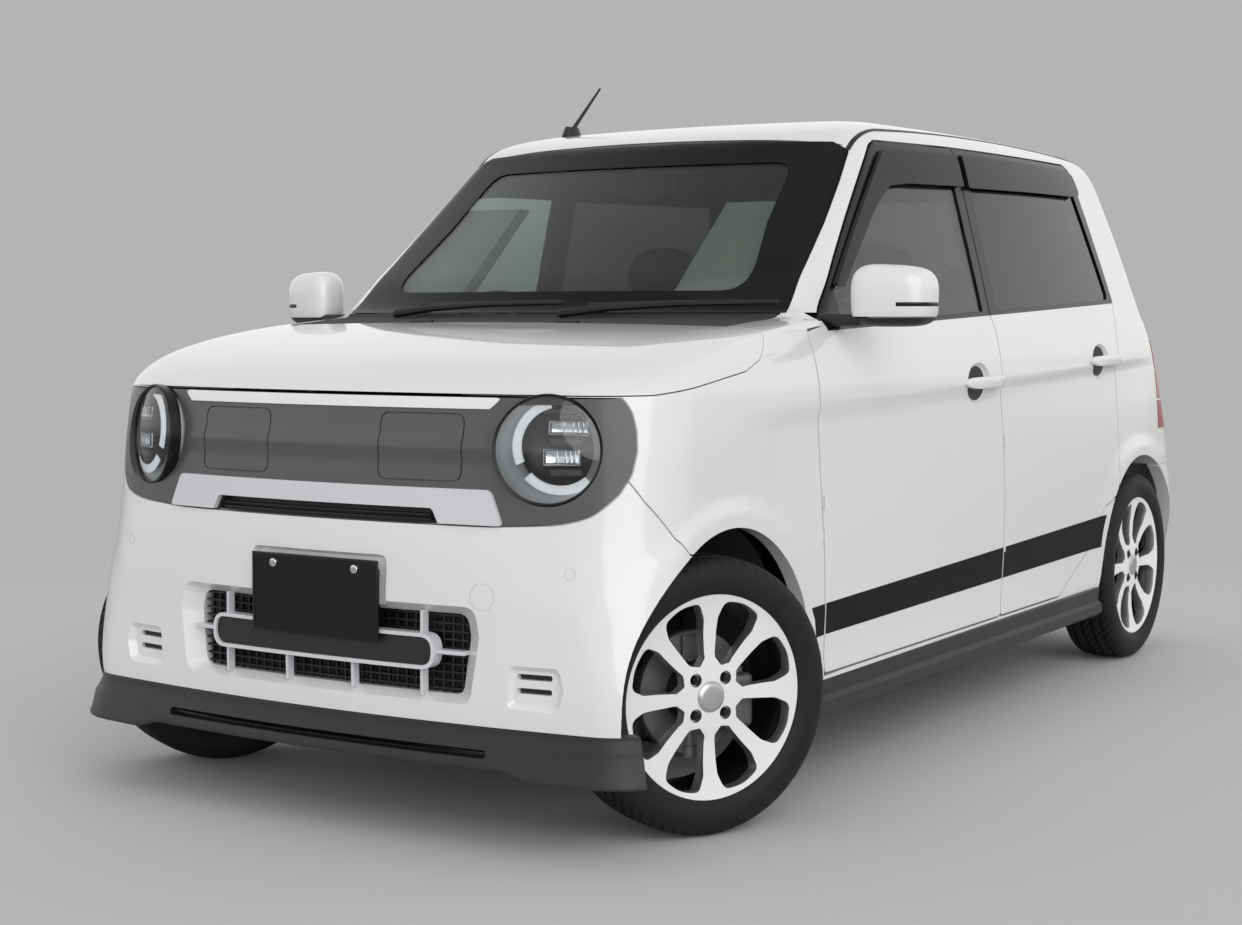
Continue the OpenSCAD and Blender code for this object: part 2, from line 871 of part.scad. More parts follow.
// Rounds the corners of a profile
module softened(r) {
  offset(r = r, $fn = 16)
    offset(delta = -r)
      children();
}
module dashboard() {
  color(black) {
    side_prism(-600 * ky, 600 * ky)
      softened(18)
        outline([[889, 560], [889, 970], [820, 982], [700, 968], [640, 930], [630, 860], [680, 760],
          [720, 600]], -seam);
    helm_place()
      translate([0, 0, -190])
        cylinder(r = 12, h = 195);
    helm_place()
      translate([0, 0, -190])
        cylinder(r = 30, h = 150);
  }
}
module helm_place() {
  translate([500 * kx, -330 * ky, 930 * kz])
    rotate([0, helm_tilt - 90, 0])
      children();
}
module steering_wheel() {
  color(black)
    helm_place()
      difference() {
        union() {
          rotate_extrude()
            translate([helm_d / 2 - 14, 0])
              circle(14);
          translate([0, 0, -30])
            cylinder(r = 55, h = 44);
          for (a = [0, 120, 240])
            rotate([0, 0, a])
              translate([0, -18, -12])
                cube([helm_d / 2 - 16, 36, 14]);
        }
        translate([0, 0, -40])
          cylinder(r = 12 + running, h = 46);
      }
}
// The seats stand on the floor
seat_low = floor_z + 22.3;
module seat(y, w) {
  translate([0, y, 0])
    side_prism(-w / 2, w / 2)
      softened(22)
        polygon([[420, seat_low], [430, 470], [400, 500], [-60, 470], [-90, 520], [-250, 1060],
          [-310, 1070],
          [-330, 1040], [-190, 440], [-180, seat_low]]);
  translate([0, y, 0])
    side_prism(-125, 125)
      softened(16)
        polygon([[-245, 1030], [-268, 1220], [-290, 1230], [-340, 1215], [-318, 1020]]);
}
module seats() {
  color(dark) {
    seat(330 * ky, seat_w);
    seat(-330 * ky, seat_w);
    difference() {
      side_prism(-560 * ky, 560 * ky)
        softened(20)
          polygon([[-420, seat_low], [-410, 480], [-440, 510], [-840, 480], [-870, 520], [-1010, 1040],
            [-1060, 1050],
            [-1080, 1020], [-960, 440], [-870, 420], [-800, seat_low]]);
      // Room for the wheel housings
      for (s = [1, -1])
        flip(s)
          translate([-1200, 456, 200])
            cube([300, 200, 440]);
    }
    for (y = [-290, 290])
      translate([0, y, 0])
        side_prism(-115, 115)
          softened(16)
            polygon([[-1000, 1005], [-1024, 1180], [-1044, 1190], [-1090, 1175], [-1070, 995]]);
  }
}
module engine() {
  color(steel)
    union() {
      translate([1060, -320, 280])
        cube([400, 640, 466]);
      translate([1220, -372, rail_top + seam])
        cube([90, 744, 34]);
    }
}
module front_suspension() {
  color(steel)
    difference() {
      union() {
        translate([1170, -345, 150])
          cube([180, 690, 40]);
        for (s = [1, -1])
          flip(s) {
            // Lower arm with the kingpin
            translate([1232, 300, 150])
              cube([56, king_y - 300, 22]);
            translate([axle_x, king_y, 150])
              cylinder(r = 28, h = 22);
            translate([axle_x, king_y, 150])
              cylinder(r = kingpin_r, h = 222);
            // Strut with its spring and top plate
            translate([axle_x, strut_y, 150])
              cylinder(r = strut_r, h = 700);
            translate([axle_x, strut_y, 640])
              cylinder(r = 52, h = 180);
            translate([911.3, 466, 842])
              cube([axle_x - 911.3 + 40, 80, 12]);
            // Rail mounts
            translate([1180, 331, 188])
              cube([160, 48, rail_low - seam - 188]);
          }
      }
    }
}
module steer_place(s) {
  translate([axle_x, s * king_y, wheel_z])
    rotate([0, 0, -steer_rest])
      children();
}
module knuckle(s) {
  color(steel)
    steer_place(s)
      flip(s)
        difference() {
          union() {
            translate([0, 0, 172.5 - wheel_z])
              cylinder(r = 24, h = 199);
            rotate([-90, 0, 0])
              cylinder(r = 22, h = 28);
            rotate([-90, 0, 0])
              cylinder(r = spindle_r, h = kingpin_in + 55);
            // Brake caliper and steering arm
            translate([-30, -8, 70])
              cube([60, 32, 46]);
            translate([-120, -12, -60])
              cube([120, 20, 24]);
          }
          translate([0, 0, 150 - wheel_z])
            cylinder(r = kingpin_r + running, h = 240);
        }
}
// Wheel with its hub and brake disc, on the y axis with the outer face to +y
module rim() {
  difference() {
    union() {
      rotate([-90, 0, 0])
        rotate_extrude()
          polygon([[rim_r, 70], [rim_r, 64], [rim_r - 12, 62], [rim_r - 14, 34], [rim_r - 30, 22],
            [rim_r - 30, -8],
            [rim_r - 14, -24], [rim_r - 12, -62], [rim_r, -64], [rim_r, -70], [rim_r - 16, -68],
            [rim_r - 20, -24],
            [rim_r - 36, -10], [rim_r - 36, 24], [rim_r - 24, 36], [rim_r - 14, 70]]);
      difference() {
        rotate([-90, 0, 0])
          rotate_extrude()
            polygon([[0, 44], [0, 66], [30, 66], [40, 62], [70, 58], [120, 62], [rim_r - 16, 68],
              [rim_r - 17, 40],
              [150, 46], [80, 42]]);
        for (i = [0:spokes - 1])
          rotate([0, i * 360 / spokes, 0])
            rotate([-90, 0, 0])
              linear_extrude(120)
                polygon([[84, -6], [84, 6], [120, 22], [rim_r - 36, 40], [rim_r - 26, 34], [rim_r - 22, 20],
                  [rim_r - 20, 0], [rim_r - 22, -20], [rim_r - 26, -34], [rim_r - 36, -40], [120, -22]]);
      }
      // Wheel nuts
      for (i = [0:nuts - 1])
        rotate([0, 45 + i * 360 / nuts, 0])
          translate([nut_pcd / 2, 50, 0])
            rotate([-90, 0, 0])
              cylinder(r = 9.5, h = 18, $fn = 6);
      // Hub and brake disc
      rotate([-90, 0, 0])
        translate([0, 0, 30])
          cylinder(r = 66, h = 16);
      rotate([-90, 0, 0])
        translate([0, 0, 12])
          cylinder(r = 30, h = 30);
      rotate([-90, 0, 0])
        translate([0, 0, 14])
          cylinder(r = 118, h = 16);
    }
    rotate([-90, 0, 0])
      cylinder(r = spindle_r + running, h = 56);
  }
}
module tyre() {
  rotate([-90, 0, 0])
    rotate_extrude()
      polygon([[rim_r - 11.7, 61], [rim_r + 0.3, 63.6], [rim_r + 0.3, 71], [rim_r + 24, 80],
        [rim_r + 40, tyre_w / 2],
        [tyre_r - 24, 78], [tyre_r - 8, 70], [tyre_r - 2, 56], [tyre_r, 40],
        [tyre_r, -40], [tyre_r - 2, -56], [tyre_r - 8, -70], [tyre_r - 24, -78],
        [rim_r + 40, -tyre_w / 2], [rim_r + 24, -80], [rim_r + 0.3, -71], [rim_r + 0.3, -63.6],
        [rim_r - 11.7, -61],
        [rim_r - 11.7, -50], [rim_r + 4, -48], [rim_r + 50, -72], [tyre_r - 12, -66], [tyre_r - 12, 66],
        [rim_r + 50, 72], [rim_r + 4, 48], [rim_r - 11.7, 50]]);
}
module front_wheel_place(s) {
  steer_place(s)
    flip(s)
      translate([0, kingpin_in, 0])
        children();
}
module rear_wheel_place(s) {
  flip(s)
    translate([-axle_x, wheel_y, wheel_z])
      children();
}
// Front pivot of the rear arms
arm_x = -780;
module rear_axle() {
  color(steel) {
    translate([-1010, -500, 236])
      cube([70, 1000, 70]);
    for (s = [1, -1])
      flip(s) {
        hull() {
          translate([arm_x, 520, 174])
            rotate([90, 0, 0])
              cylinder(r = 20, h = 56, center = true);
          translate([-axle_x, 520, wheel_z])
            rotate([90, 0, 0])
              cylinder(r = 34, h = 56, center = true);
        }
        // Bush under the floor
        translate([arm_x, 520, 174])
          rotate([90, 0, 0])
            cylinder(r = floor_z - seam - 174, h = 70, center = true);
        translate([-axle_x, 500, wheel_z])
          rotate([-90, 0, 0])
            cylinder(r = 46, h = 100);
        translate([-axle_x, 500, wheel_z])
          rotate([-90, 0, 0])
            cylinder(r = spindle_r, h = wheel_y - 500 + 55);
        translate([-1120, 508, 240])
          cylinder(r = 40, h = 143.7);
      }
  }
}
module exhaust() {
  color(steel) {
    translate([-1560, 30, 230])
      cube([180, 415, 154 - seam]);
    translate([-1380, 250, 300])
      rotate([0, 90, 0])
        cylinder(r = 24, h = 350);
    translate([-1612, 400, 262])
      rotate([0, 90, 0])
        cylinder(r = 26, h = 60);
  }
}
// Rod between two points with round ends
module rod(a, b, ra, rb) {
  hull() {
    translate(a)
      sphere(ra, $fn = 8);
    translate(b)
      sphere(rb, $fn = 8);
  }
}
module wipers() {
  color(black)
    for (y = [-380, 120]) {
      tip_a = wiper_at(y + 60, 1060);
      middle = wiper_at(y + 270, 1063);
      tip_b = wiper_at(y + 480, 1066);
      elbow = wiper_at(y + 110, 1054);
      rod(wiper_at(y, 1041.4), elbow, 11, 9);
      rod(elbow, middle, 9, 7);
      rod(tip_a, middle, 6, 8);
      rod(middle, tip_b, 8, 6);
    }
}
function wiper_at(y, z) = [nose_x(z, y) + 34, y, z * kz];
module antenna() {
  color(black)
    difference() {
      translate([90 * kx, -430 * ky, 1515 * kz]) {
        scale([1.8, 1, 1])
          cylinder(r1 = 24, r2 = 14, h = 34);
        translate([0, 0, 24])
          rotate([0, -48, 0])
            cylinder(r1 = 6, r2 = 3, h = 190);
      }
      form(-seam, -seam);
    }
}

floor_pan();
wheel_housings();
body_sides();
roof();
bulkhead();
fenders();
front_bumper();
grille_panel();
headlamps();
lower_grille();
front_lip();
windscreen();
wipers();
rear_bumper();
tail_lamps();
side_skirts();
dashboard();
seats();
engine();
front_suspension();
rear_axle();
exhaust();
antenna();
hinges();
steering_wheel();
bonnet();
tailgate();
tailgate_glass();
door_front(1);  // door_front_left
door_glass(1, fw_pts);  // glass_front_left
wing_mirror(1);  // mirror_left
door_front(-1);  // door_front_right
door_glass(-1, fw_pts);  // glass_front_right
wing_mirror(-1);  // mirror_right
door_rear(1);  // door_rear_left
door_glass(1, rw_pts);  // glass_rear_left
door_rear(-1);  // door_rear_right
door_glass(-1, rw_pts);  // glass_rear_right
knuckle(1);  // knuckle_left
knuckle(-1);  // knuckle_right
color(silver) front_wheel_place(1) rim();  // wheel_front_left
color(silver) front_wheel_place(-1) rim();  // wheel_front_right
color(silver) rear_wheel_place(1) rim();  // wheel_rear_left
color(silver) rear_wheel_place(-1) rim();  // wheel_rear_right
color(black) front_wheel_place(1) tyre();  // tyre_front_left
color(black) front_wheel_place(-1) tyre();  // tyre_front_right
color(black) rear_wheel_place(1) tyre();  // tyre_rear_left
color(black) rear_wheel_place(-1) tyre();  // tyre_rear_right
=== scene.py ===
"""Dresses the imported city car: panels, glass, lamps, trim, wheels and cabin, with studio and camera."""

import json
import math

import bpy
import bmesh
import numpy as np
from mathutils import Matrix, Vector
from mathutils.bvhtree import BVHTree


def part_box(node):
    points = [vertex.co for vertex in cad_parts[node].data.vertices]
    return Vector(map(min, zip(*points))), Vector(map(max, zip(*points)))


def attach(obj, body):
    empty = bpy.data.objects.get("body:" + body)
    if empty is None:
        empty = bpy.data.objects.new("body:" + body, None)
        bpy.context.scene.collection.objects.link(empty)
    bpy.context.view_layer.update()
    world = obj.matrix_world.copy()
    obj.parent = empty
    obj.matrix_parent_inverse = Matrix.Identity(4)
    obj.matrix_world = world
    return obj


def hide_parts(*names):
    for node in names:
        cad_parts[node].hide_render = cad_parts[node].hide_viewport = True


bl_info = {
    "name": "City Car Dresser",
    "version": (1, 0, 0),
    "blender": (4, 5, 0),
    "location": "View3D > Sidebar > City Car",
    "description": "Panels, glass, lamps, wheels and cabin for a small jointed city car",
    "category": "Object",
}

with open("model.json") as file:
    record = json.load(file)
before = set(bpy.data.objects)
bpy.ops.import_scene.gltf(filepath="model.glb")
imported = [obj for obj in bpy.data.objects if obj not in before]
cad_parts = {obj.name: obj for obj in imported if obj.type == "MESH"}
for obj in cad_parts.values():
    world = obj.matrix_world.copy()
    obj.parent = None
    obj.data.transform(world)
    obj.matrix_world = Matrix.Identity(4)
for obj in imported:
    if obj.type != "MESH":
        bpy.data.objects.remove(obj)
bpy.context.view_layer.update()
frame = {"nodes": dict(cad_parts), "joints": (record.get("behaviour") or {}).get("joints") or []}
MM = 0.001
SIDES = (("left", 1), ("right", -1))

# Body sections from the ground up in millimetres: height, front x, front bow, front corner radius,
# front, middle and rear half width, rear corner radius, rear bow, rear x
SECTIONS = (
    (190, 1648, 62, 120, 716, 712, 692, 150, 40, -1640),
    (235, 1660, 62, 122, 727, 722, 704, 150, 40, -1668),
    (330, 1666, 68, 135, 732, 731, 718, 150, 40, -1688),
    (450, 1666, 82, 165, 734, 736, 722, 150, 40, -1694),
    (560, 1661, 92, 190, 735, 737.5, 722, 150, 42, -1690),
    (650, 1654, 97, 200, 735, 737.5, 720, 150, 45, -1668),
    (760, 1644, 98, 205, 734, 736.5, 716, 155, 48, -1640),
    (850, 1632, 98, 205, 730, 733, 709, 160, 50, -1618),
    (885, 1624, 98, 205, 728, 731, 706, 160, 52, -1609),
    (905, 1606, 98, 200, 725, 729, 704, 162, 53, -1604),
    (925, 1576, 98, 195, 721, 727, 702, 165, 54, -1599),
    (950, 1518, 99, 190, 716, 723, 699, 168, 56, -1592),
    (975, 1420, 102, 180, 710, 718, 695, 170, 58, -1585),
    (995, 1305, 106, 168, 706, 714, 691, 172, 60, -1579),
    (1010, 1180, 112, 150, 702, 710, 688, 175, 60, -1574),
    (1022, 1050, 120, 130, 697, 706, 685, 177, 61, -1569),
    (1032, 938, 125, 110, 692, 702, 682, 178, 62, -1566),
    (1130, 812, 125, 95, 664, 680, 660, 180, 65, -1530),
    (1240, 680, 120, 90, 635, 655, 634, 180, 65, -1487),
    (1350, 549, 110, 88, 608, 630, 606, 180, 65, -1440),
    (1420, 465, 100, 88, 590, 613, 588, 180, 65, -1404),
    (1455, 420, 90, 90, 577, 601, 576, 185, 62, -1375),
    (1480, 370, 80, 95, 557, 584, 560, 190, 55, -1335),
    (1500, 300, 70, 100, 524, 556, 532, 195, 50, -1275),
    (1518, 200, 60, 110, 466, 500, 480, 200, 42, -1180),
    (1532, 70, 50, 110, 376, 405, 388, 190, 30, -1030),
    (1541, -90, 35, 100, 255, 280, 262, 150, 20, -820),
    (1545, -290, 15, 50, 105, 115, 105, 60, 8, -560),
)
ROW_STEPS = 6
FRONT_N, CORNER_N, SIDE_N = 26, 14, 48
AXLE_X, WHEEL_Z, ARCH_R = 1260.0, 281.0, 335.0
HALF_GAP = 2.5
# Half width that side cutters reach, and the points on each outline of a narrowing block
HALF_SPAN, MATCHED = 900, 160


def both(half):
    """A symmetric outline from its left half, listed upwards from the bottom."""
    right = [(-y, z, r) for y, z, r in half]
    return (right[0], *half, *right[:0:-1])


# Side view outlines in millimetres: x, z and the radius of the corner
FRONT_DOOR = ((847, 268, 12), (849, 424, 0), (862, 770, 0), (872, 985, 10), (862, 1000, 8), (800, 1009, 20),
              (774, 1022, 12), (306, 1438, 30), (280, 1450, 24), (-123, 1459, 6), (-134, 1027, 0),
              (-155, 741, 0), (-155, 268, 12))
REAR_DOOR = ((-165, 268, 12), (-165, 741, 0), (-144, 1027, 0), (-133, 1459, 6), (-960, 1466, 30),
             (-992, 1452, 24), (-1122, 1078, 30), (-1094, 985, 0), (-1066, 860, 0), (-1052, 620, 0),
             (-1040, 520, 60), (-930, 490, 60), (-800, 372, 0), (-640, 292, 40), (-590, 268, 30))
FRONT_WINDOW = ((672, 1018, 4), (672, 1098, 20), (300, 1404, 30), (276, 1414, 20), (-84, 1424, 16),
                (-97, 1046, 6))
REAR_WINDOW = ((-190, 1050, 6), (-176, 1428, 16), (-930, 1436, 26), (-958, 1424, 20), (-1086, 1096, 16),
               (-1074, 1082, 8))
SCREEN = ((822, 1041, 0), (363, 1441, 0), (380, 1456, 0), (440, 1474, 0), (1200, 1474, 0), (1200, 1041, 0))
BONNET = ((1760, 889, 0), (1560, 888, 0), (1480, 889, 0), (1358, 904, 80), (1176, 928, 60), (1112, 950, 50),
          (1082, 974, 30), (1064, 1000, 20), (1061, 1012, 10), (1061, 1120, 0), (1760, 1120, 0))
FACE = ((1760, 633, 0), (1626, 634, 0), (1602, 642, 30), (1581, 661, 40), (1550, 703, 60), (1532, 738, 60),
        (1521, 780, 60), (1518, 820, 60), (1520, 854, 40), (1528, 879, 4), (1760, 879, 0))
BUMPER = ((1760, 246, 0), (1760, 740, 0), (1545, 740, 0), (1515, 684, 60), (1460, 612, 60), (1424, 578, 8),
          (1300, 578, 0), (1300, 246, 0))
FENDER = ((857, 262, 0), (859, 424, 0), (872, 770, 0), (882, 990, 10), (868, 1010, 8), (790, 1018, 0),
          (790, 1050, 0), (1200, 1060, 0), (1570, 910, 0), (1570, 760, 0), (1545, 740, 0), (1515, 684, 60),
          (1460, 612, 60), (1424, 578, 8), (1300, 578, 0), (925, 262, 0))
REAR_BUMPER = ((-1760, 195, 0), (-1760, 578, 0), (-1430, 578, 0), (-1300, 300, 0), (-1300, 195, 0))
SIDE = ((925, 195, 0), (925, 256, 0), (700, 262, 0), (760, 1043, 0), (840, 1043, 0), (840, 1600, 0),
        (-1760, 1600, 0), (-1760, 579, 0), (-1300, 579, 0), (-1300, 195, 0))
# Rear view outlines in millimetres: y, z and the radius of the corner
TAILGATE = both(((598, 590, 40), (606, 960, 60), (562, 1150, 60), (498, 1440, 30), (492, 1600, 0)))
TAIL_WINDOW = both(((540, 1082, 30), (512, 1180, 0), (462, 1384, 30), (440, 1402, 20)))
TAIL_LAMP = ((620, 690, 20), (760, 690, 20), (760, 955, 20), (614, 965, 20))
ROOF_REAR, ROOF_Y = -1222, 540


def blend_step(v, low, high):
    """Smooth step from 0 at low to 1 at high."""
    k = np.clip((v - low) / (high - low), 0.0, 1.0)
    return k * k * (3 - 2 * k)


def flow(s, v, q):
    """Monotone cubic curve through v at the stations s, read at q."""
    h = np.diff(s)
    d = np.diff(v) / h
    m = np.concatenate(([d[0]], np.zeros(len(d) - 1), [d[-1]]))
    w1, w2 = 2 * h[1:] + h[:-1], h[1:] + 2 * h[:-1]
    same = d[:-1] * d[1:] > 0
    m[1:-1][same] = (w1 + w2)[same] / (w1[same] / d[:-1][same] + w2[same] / d[1:][same])
    i = np.clip(np.searchsorted(s, q, side="right") - 1, 0, len(h) - 1)
    t = (q - s[i]) / h[i]
    a, b = v[i], v[i + 1]
    ma, mb = m[i] * h[i], m[i + 1] * h[i]
    return ((2 * t**3 - 3 * t**2 + 1) * a + (t**3 - 2 * t**2 + t) * ma
            + (3 * t**2 - 2 * t**3) * b + (t**3 - t**2) * mb)


def fine_rows():
    """The section table resampled along its own length."""
    rows = np.array(SECTIONS, float)
    steps = np.sqrt(np.diff(rows[:, 0]) ** 2 + np.diff(rows[:, 1]) ** 2 + np.diff(rows[:, 5]) ** 2)
    s = np.concatenate(([0], np.cumsum(steps)))
    spans = [np.linspace(a, b, ROW_STEPS, endpoint=False) for a, b in zip(s[:-1], s[1:])]
    q = np.concatenate(spans + [s[-1:]])
    return np.column_stack([flow(s, rows[:, c], q) for c in range(rows.shape[1])])


ROWS = fine_rows()


def corner(x0, bow, r, w):
    """Side step, start angle and centre of a rounded corner."""
    y0 = w - 0.85 * r
    a0 = math.atan(2 * bow * y0 / (w * w))
    xe = x0 - bow * (y0 / w) ** 2
    return y0, a0, xe - r * math.cos(a0), y0 - r * math.sin(a0)


def half_ring(row, t):
    """Half outline of one section from the front middle to the rear middle, set in by t."""
    _, xf, bf, rf, wf, wm, wr, rr, br, xr = row
    xf, xr, wf, wm, wr = xf - t, xr + t, wf - t, wm - t, wr - t
    rf, rr = max(rf - t, 20), max(rr - t, 20)
    fy, fa, fx, fc = corner(xf, bf, rf, wf)
    by, ba, bx, bc = corner(-xr, br, rr, wr)
    ye, yr = fc + rf, bc + rr
    y = fy * np.arange(FRONT_N) / FRONT_N
    front = np.column_stack([xf - bf * (y / wf) ** 2, y])
    a = fa + (math.pi / 2 - fa) * np.arange(CORNER_N + 1) / CORNER_N
    front_corner = np.column_stack([fx + rf * np.cos(a), fc + rf * np.sin(a)])
    k = np.arange(1, SIDE_N) / SIDE_N
    side = np.column_stack([fx + (-bx - fx) * k, ye + (yr - ye) * k + (wm - (ye + yr) / 2) * 4 * k * (1 - k)])
    a = ba + (math.pi / 2 - ba) * np.arange(CORNER_N, -1, -1) / CORNER_N
    rear_corner = np.column_stack([-bx - rr * np.cos(a), bc + rr * np.sin(a)])
    y = by * np.arange(FRONT_N - 1, -1, -1) / FRONT_N
    rear = np.column_stack([xr + br * (y / wr) ** 2, y])
    return np.vstack([front, front_corner, side, rear_corner, rear])


def wall(z, low, high):
    """Wall thickness at a height: doors below the window line, slim frames above it."""
    return low + (high - low) * min(1, max(0, (z - 955) / 80))


def rings(low=0.0, high=0.0):
    """All sections set in by a thickness, as an array of rows, points and coordinates."""
    out = []
    for row in ROWS:
        t = wall(row[0], low, high)
        h = half_ring(row, t)
        whole = np.vstack([h, h[-2:0:-1] * (1, -1)])
        z = row[0] - t * min(1, max(0, (row[0] - 780) / 150))
        out.append(np.column_stack([whole, np.full(len(whole), z)]))
    return np.array(out)


def crease_z(x):
    """Height of the line along the flank."""
    return 841 + (874 - x) * 0.0304


def sculpt(p):
    """Presses the flank line, the arch lips, the sill edge and the front band into a skin."""
    x, y, z = p[..., 0], p[..., 1], p[..., 2]
    side = np.sign(y) * blend_step(np.abs(y), 560, 660)
    down = crease_z(x) - z
    along = blend_step(x, -1430, -1200) * (1 - blend_step(x, 960, 1240))
    step = blend_step(down, -2, 28) * (1 - blend_step(down, 40, 330))
    r = np.hypot(np.abs(x) - AXLE_X, z - WHEEL_Z)
    lip = (1 - blend_step(r, ARCH_R + 34, ARCH_R + 56)) * blend_step(z, 200, 300)
    sill = 1 - blend_step(z, 272, 300)
    inside = blend_step(x, -950, -900) * (1 - blend_step(x, 880, 930))
    bend = -9 * step * along + 6 * lip + 4 * sill * inside
    front = blend_step(x, 1500, 1560)
    band = blend_step(z, 762, 776) - blend_step(z, 798, 800.5)
    band = band * (1 - blend_step(np.abs(y), 385, 398)) * front
    out = p.copy()
    out[..., 1] += side * bend
    out[..., 0] += 4.5 * band
    return out


def grid_faces(rows, n, start=0, turn=False):
    """Quads of a ring grid."""
    i, j = np.meshgrid(np.arange(rows - 1), np.arange(n), indexing="ij")
    a = start + i * n + j
    b = start + i * n + (j + 1) % n
    quads = np.stack([a, b, b + n, a + n], axis=-1).reshape(-1, 4)
    return quads[:, ::-1] if turn else quads


def new_mesh(name, points, faces):
    """A mesh object from points in millimetres."""
    mesh = bpy.data.meshes.new(name)
    spots = [tuple(p) for p in np.asarray(points, float) * MM]
    mesh.from_pydata(spots, [], [tuple(map(int, f)) for f in faces])
    mesh.validate()
    return in_scene(name, mesh)


def in_scene(name, mesh):
    """A new object of a mesh, put in the scene."""
    obj = bpy.data.objects.new(name, mesh)
    bpy.context.scene.collection.objects.link(obj)
    return obj


def copy_of(obj):
    """A second object with its own copy of a mesh."""
    return in_scene(obj.name, obj.data.copy())


def shell(name, low, high, out=0.0, shaped=True):
    """A closed wall between the skin, set out by a little, and the skin set in by its thickness."""
    outer = rings(-out, -out)
    if shaped:
        outer = sculpt(outer)
    inner = rings(low, high)
    inner[0, :, 2] -= 60
    rows, n = outer.shape[:2]
    k = rows * n
    faces = list(map(tuple, grid_faces(rows, n)))
    faces += list(map(tuple, grid_faces(rows, n, k, True)))
    faces.append(tuple(range(k - n, k)))
    faces.append(tuple(range(2 * k - 1, 2 * k - n - 1, -1)))
    faces += [(k + j, k + (j + 1) % n, (j + 1) % n, j) for j in range(n)]
    return new_mesh(name, np.vstack([outer.reshape(-1, 3), inner.reshape(-1, 3)]), faces)


def rounded(corners, grow=0.0, arc=7):
    """An outline with its corners rounded, pushed outwards by grow."""
    pts = [Vector((c[0], c[1])) for c in corners]
    area = sum(a.x * b.y - b.x * a.y for a, b in zip(pts, pts[1:] + pts[:1]))
    way = 1 if area > 0 else -1
    n = len(pts)
    moved = []
    for i, p in enumerate(pts):
        u = (p - pts[i - 1]).normalized()
        v = (pts[(i + 1) % n] - p).normalized()
        nu, nv = Vector((u.y, -u.x)) * way, Vector((v.y, -v.x)) * way
        moved.append(p + (nu + nv) * (grow / max(1 + nu.dot(nv), 0.3)))
    out = []
    for i, p in enumerate(moved):
        r = corners[i][2] if len(corners[i]) > 2 else 0
        a, b = moved[i - 1] - p, moved[(i + 1) % n] - p
        angle = a.angle(b)
        if r <= 0 or angle > 3.1:
            out.append(p)
            continue
        reach = min(r / math.tan(angle / 2), 0.49 * a.length, 0.49 * b.length)
        p0, p1 = p + a.normalized() * reach, p + b.normalized() * reach
        for k in range(arc + 1):
            t = k / arc
            out.append(p0 * (1 - t) ** 2 + p * 2 * t * (1 - t) + p1 * t * t)
    return [(q.x, q.y) for q in out]


def prism(name, outline, place, low, high):
    """A closed prism of an outline, place(u, v, w) giving the point in space."""
    n = len(outline)
    pts = [place(u, v, w) for w in (low, high) for u, v in outline]
    faces = [tuple(range(n)), tuple(range(2 * n - 1, n - 1, -1))]
    faces += [(i, n + i, n + (i + 1) % n, (i + 1) % n) for i in range(n)]
    obj = new_mesh(name, pts, faces)
    outward(obj)
    return obj


def outward(obj):
    """Turns all faces of a closed mesh outwards."""
    bm = bmesh.new()
    bm.from_mesh(obj.data)
    bmesh.ops.recalc_face_normals(bm, faces=bm.faces)
    bm.to_mesh(obj.data)
    bm.free()


def side_block(outline, low=300, high=HALF_SPAN, s=1):
    """A cutter through one side of the car from a side view outline."""
    return prism("cut_side", outline, lambda u, v, w: (u, s * w, v), low, high)


def across(outline, grow=0.0):
    """A cutter through the whole width of the car from a side view outline."""
    return side_block(rounded(outline, grow), -HALF_SPAN)


def front_block(outline, low=1300, high=1800):
    """A cutter along the car from a front view outline, through the front skin if not told otherwise."""
    return prism("cut_front", outline, lambda u, v, w: (w, u, v), low, high)


def rear_block(outline, grow=0.0, high=-1100):
    """A cutter through the rear skin from a rear view outline."""
    return front_block(rounded(outline, grow), -1800, high)


def box_block(low, high):
    """A closed box between two corners, for cutting."""
    outline = ((low[0], low[2]), (high[0], low[2]), (high[0], high[2]), (low[0], high[2]))
    return prism("cut_box", outline, lambda u, v, w: (u, w, v), low[1], high[1])


def circle(x, z, r, n=96):
    """Points round a circle."""
    a = np.linspace(0, 2 * math.pi, n, endpoint=False)
    return [(x + r * math.cos(v), z + r * math.sin(v)) for v in a]


def only(obj):
    """Selects one object alone and makes it active."""
    bpy.ops.object.select_all(action="DESELECT")
    obj.select_set(True)
    bpy.context.view_layer.objects.active = obj


def apply(obj, mod):
    """Makes a modifier's result the mesh."""
    only(obj)
    bpy.ops.object.modifier_apply(modifier=mod.name)


def carve(obj, cutter, how="DIFFERENCE"):
    """Cuts an object with another one, which is then removed."""
    mod = obj.modifiers.new("carve", "BOOLEAN")
    mod.operation = how
    mod.object = cutter
    mod.solver = "MANIFOLD"
    apply(obj, mod)
    bpy.data.objects.remove(cutter, do_unlink=True)
    return obj


def within(obj, block):
    """Keeps only what lies in a block, which is then removed."""
    return carve(obj, block, "INTERSECT")


def skin_tree():
    """Lookup tree and normals of the fine sculpted skin."""
    p = sculpt(rings())
    rows, n = p.shape[:2]
    quads = grid_faces(rows, n)
    flat = p.reshape(-1, 3)
    normals = np.zeros_like(flat)
    a, b, c, d = (flat[quads[:, k]] for k in range(4))
    face = np.cross(c - a, d - b)
    for k in range(4):
        np.add.at(normals, quads[:, k], face)
    normals /= np.linalg.norm(normals, axis=1)[:, None] + 1e-12
    tree = BVHTree.FromPolygons([tuple(v) for v in flat * MM], [tuple(map(int, q)) for q in quads])
    return tree, flat * MM, quads, normals


SKIN = skin_tree()


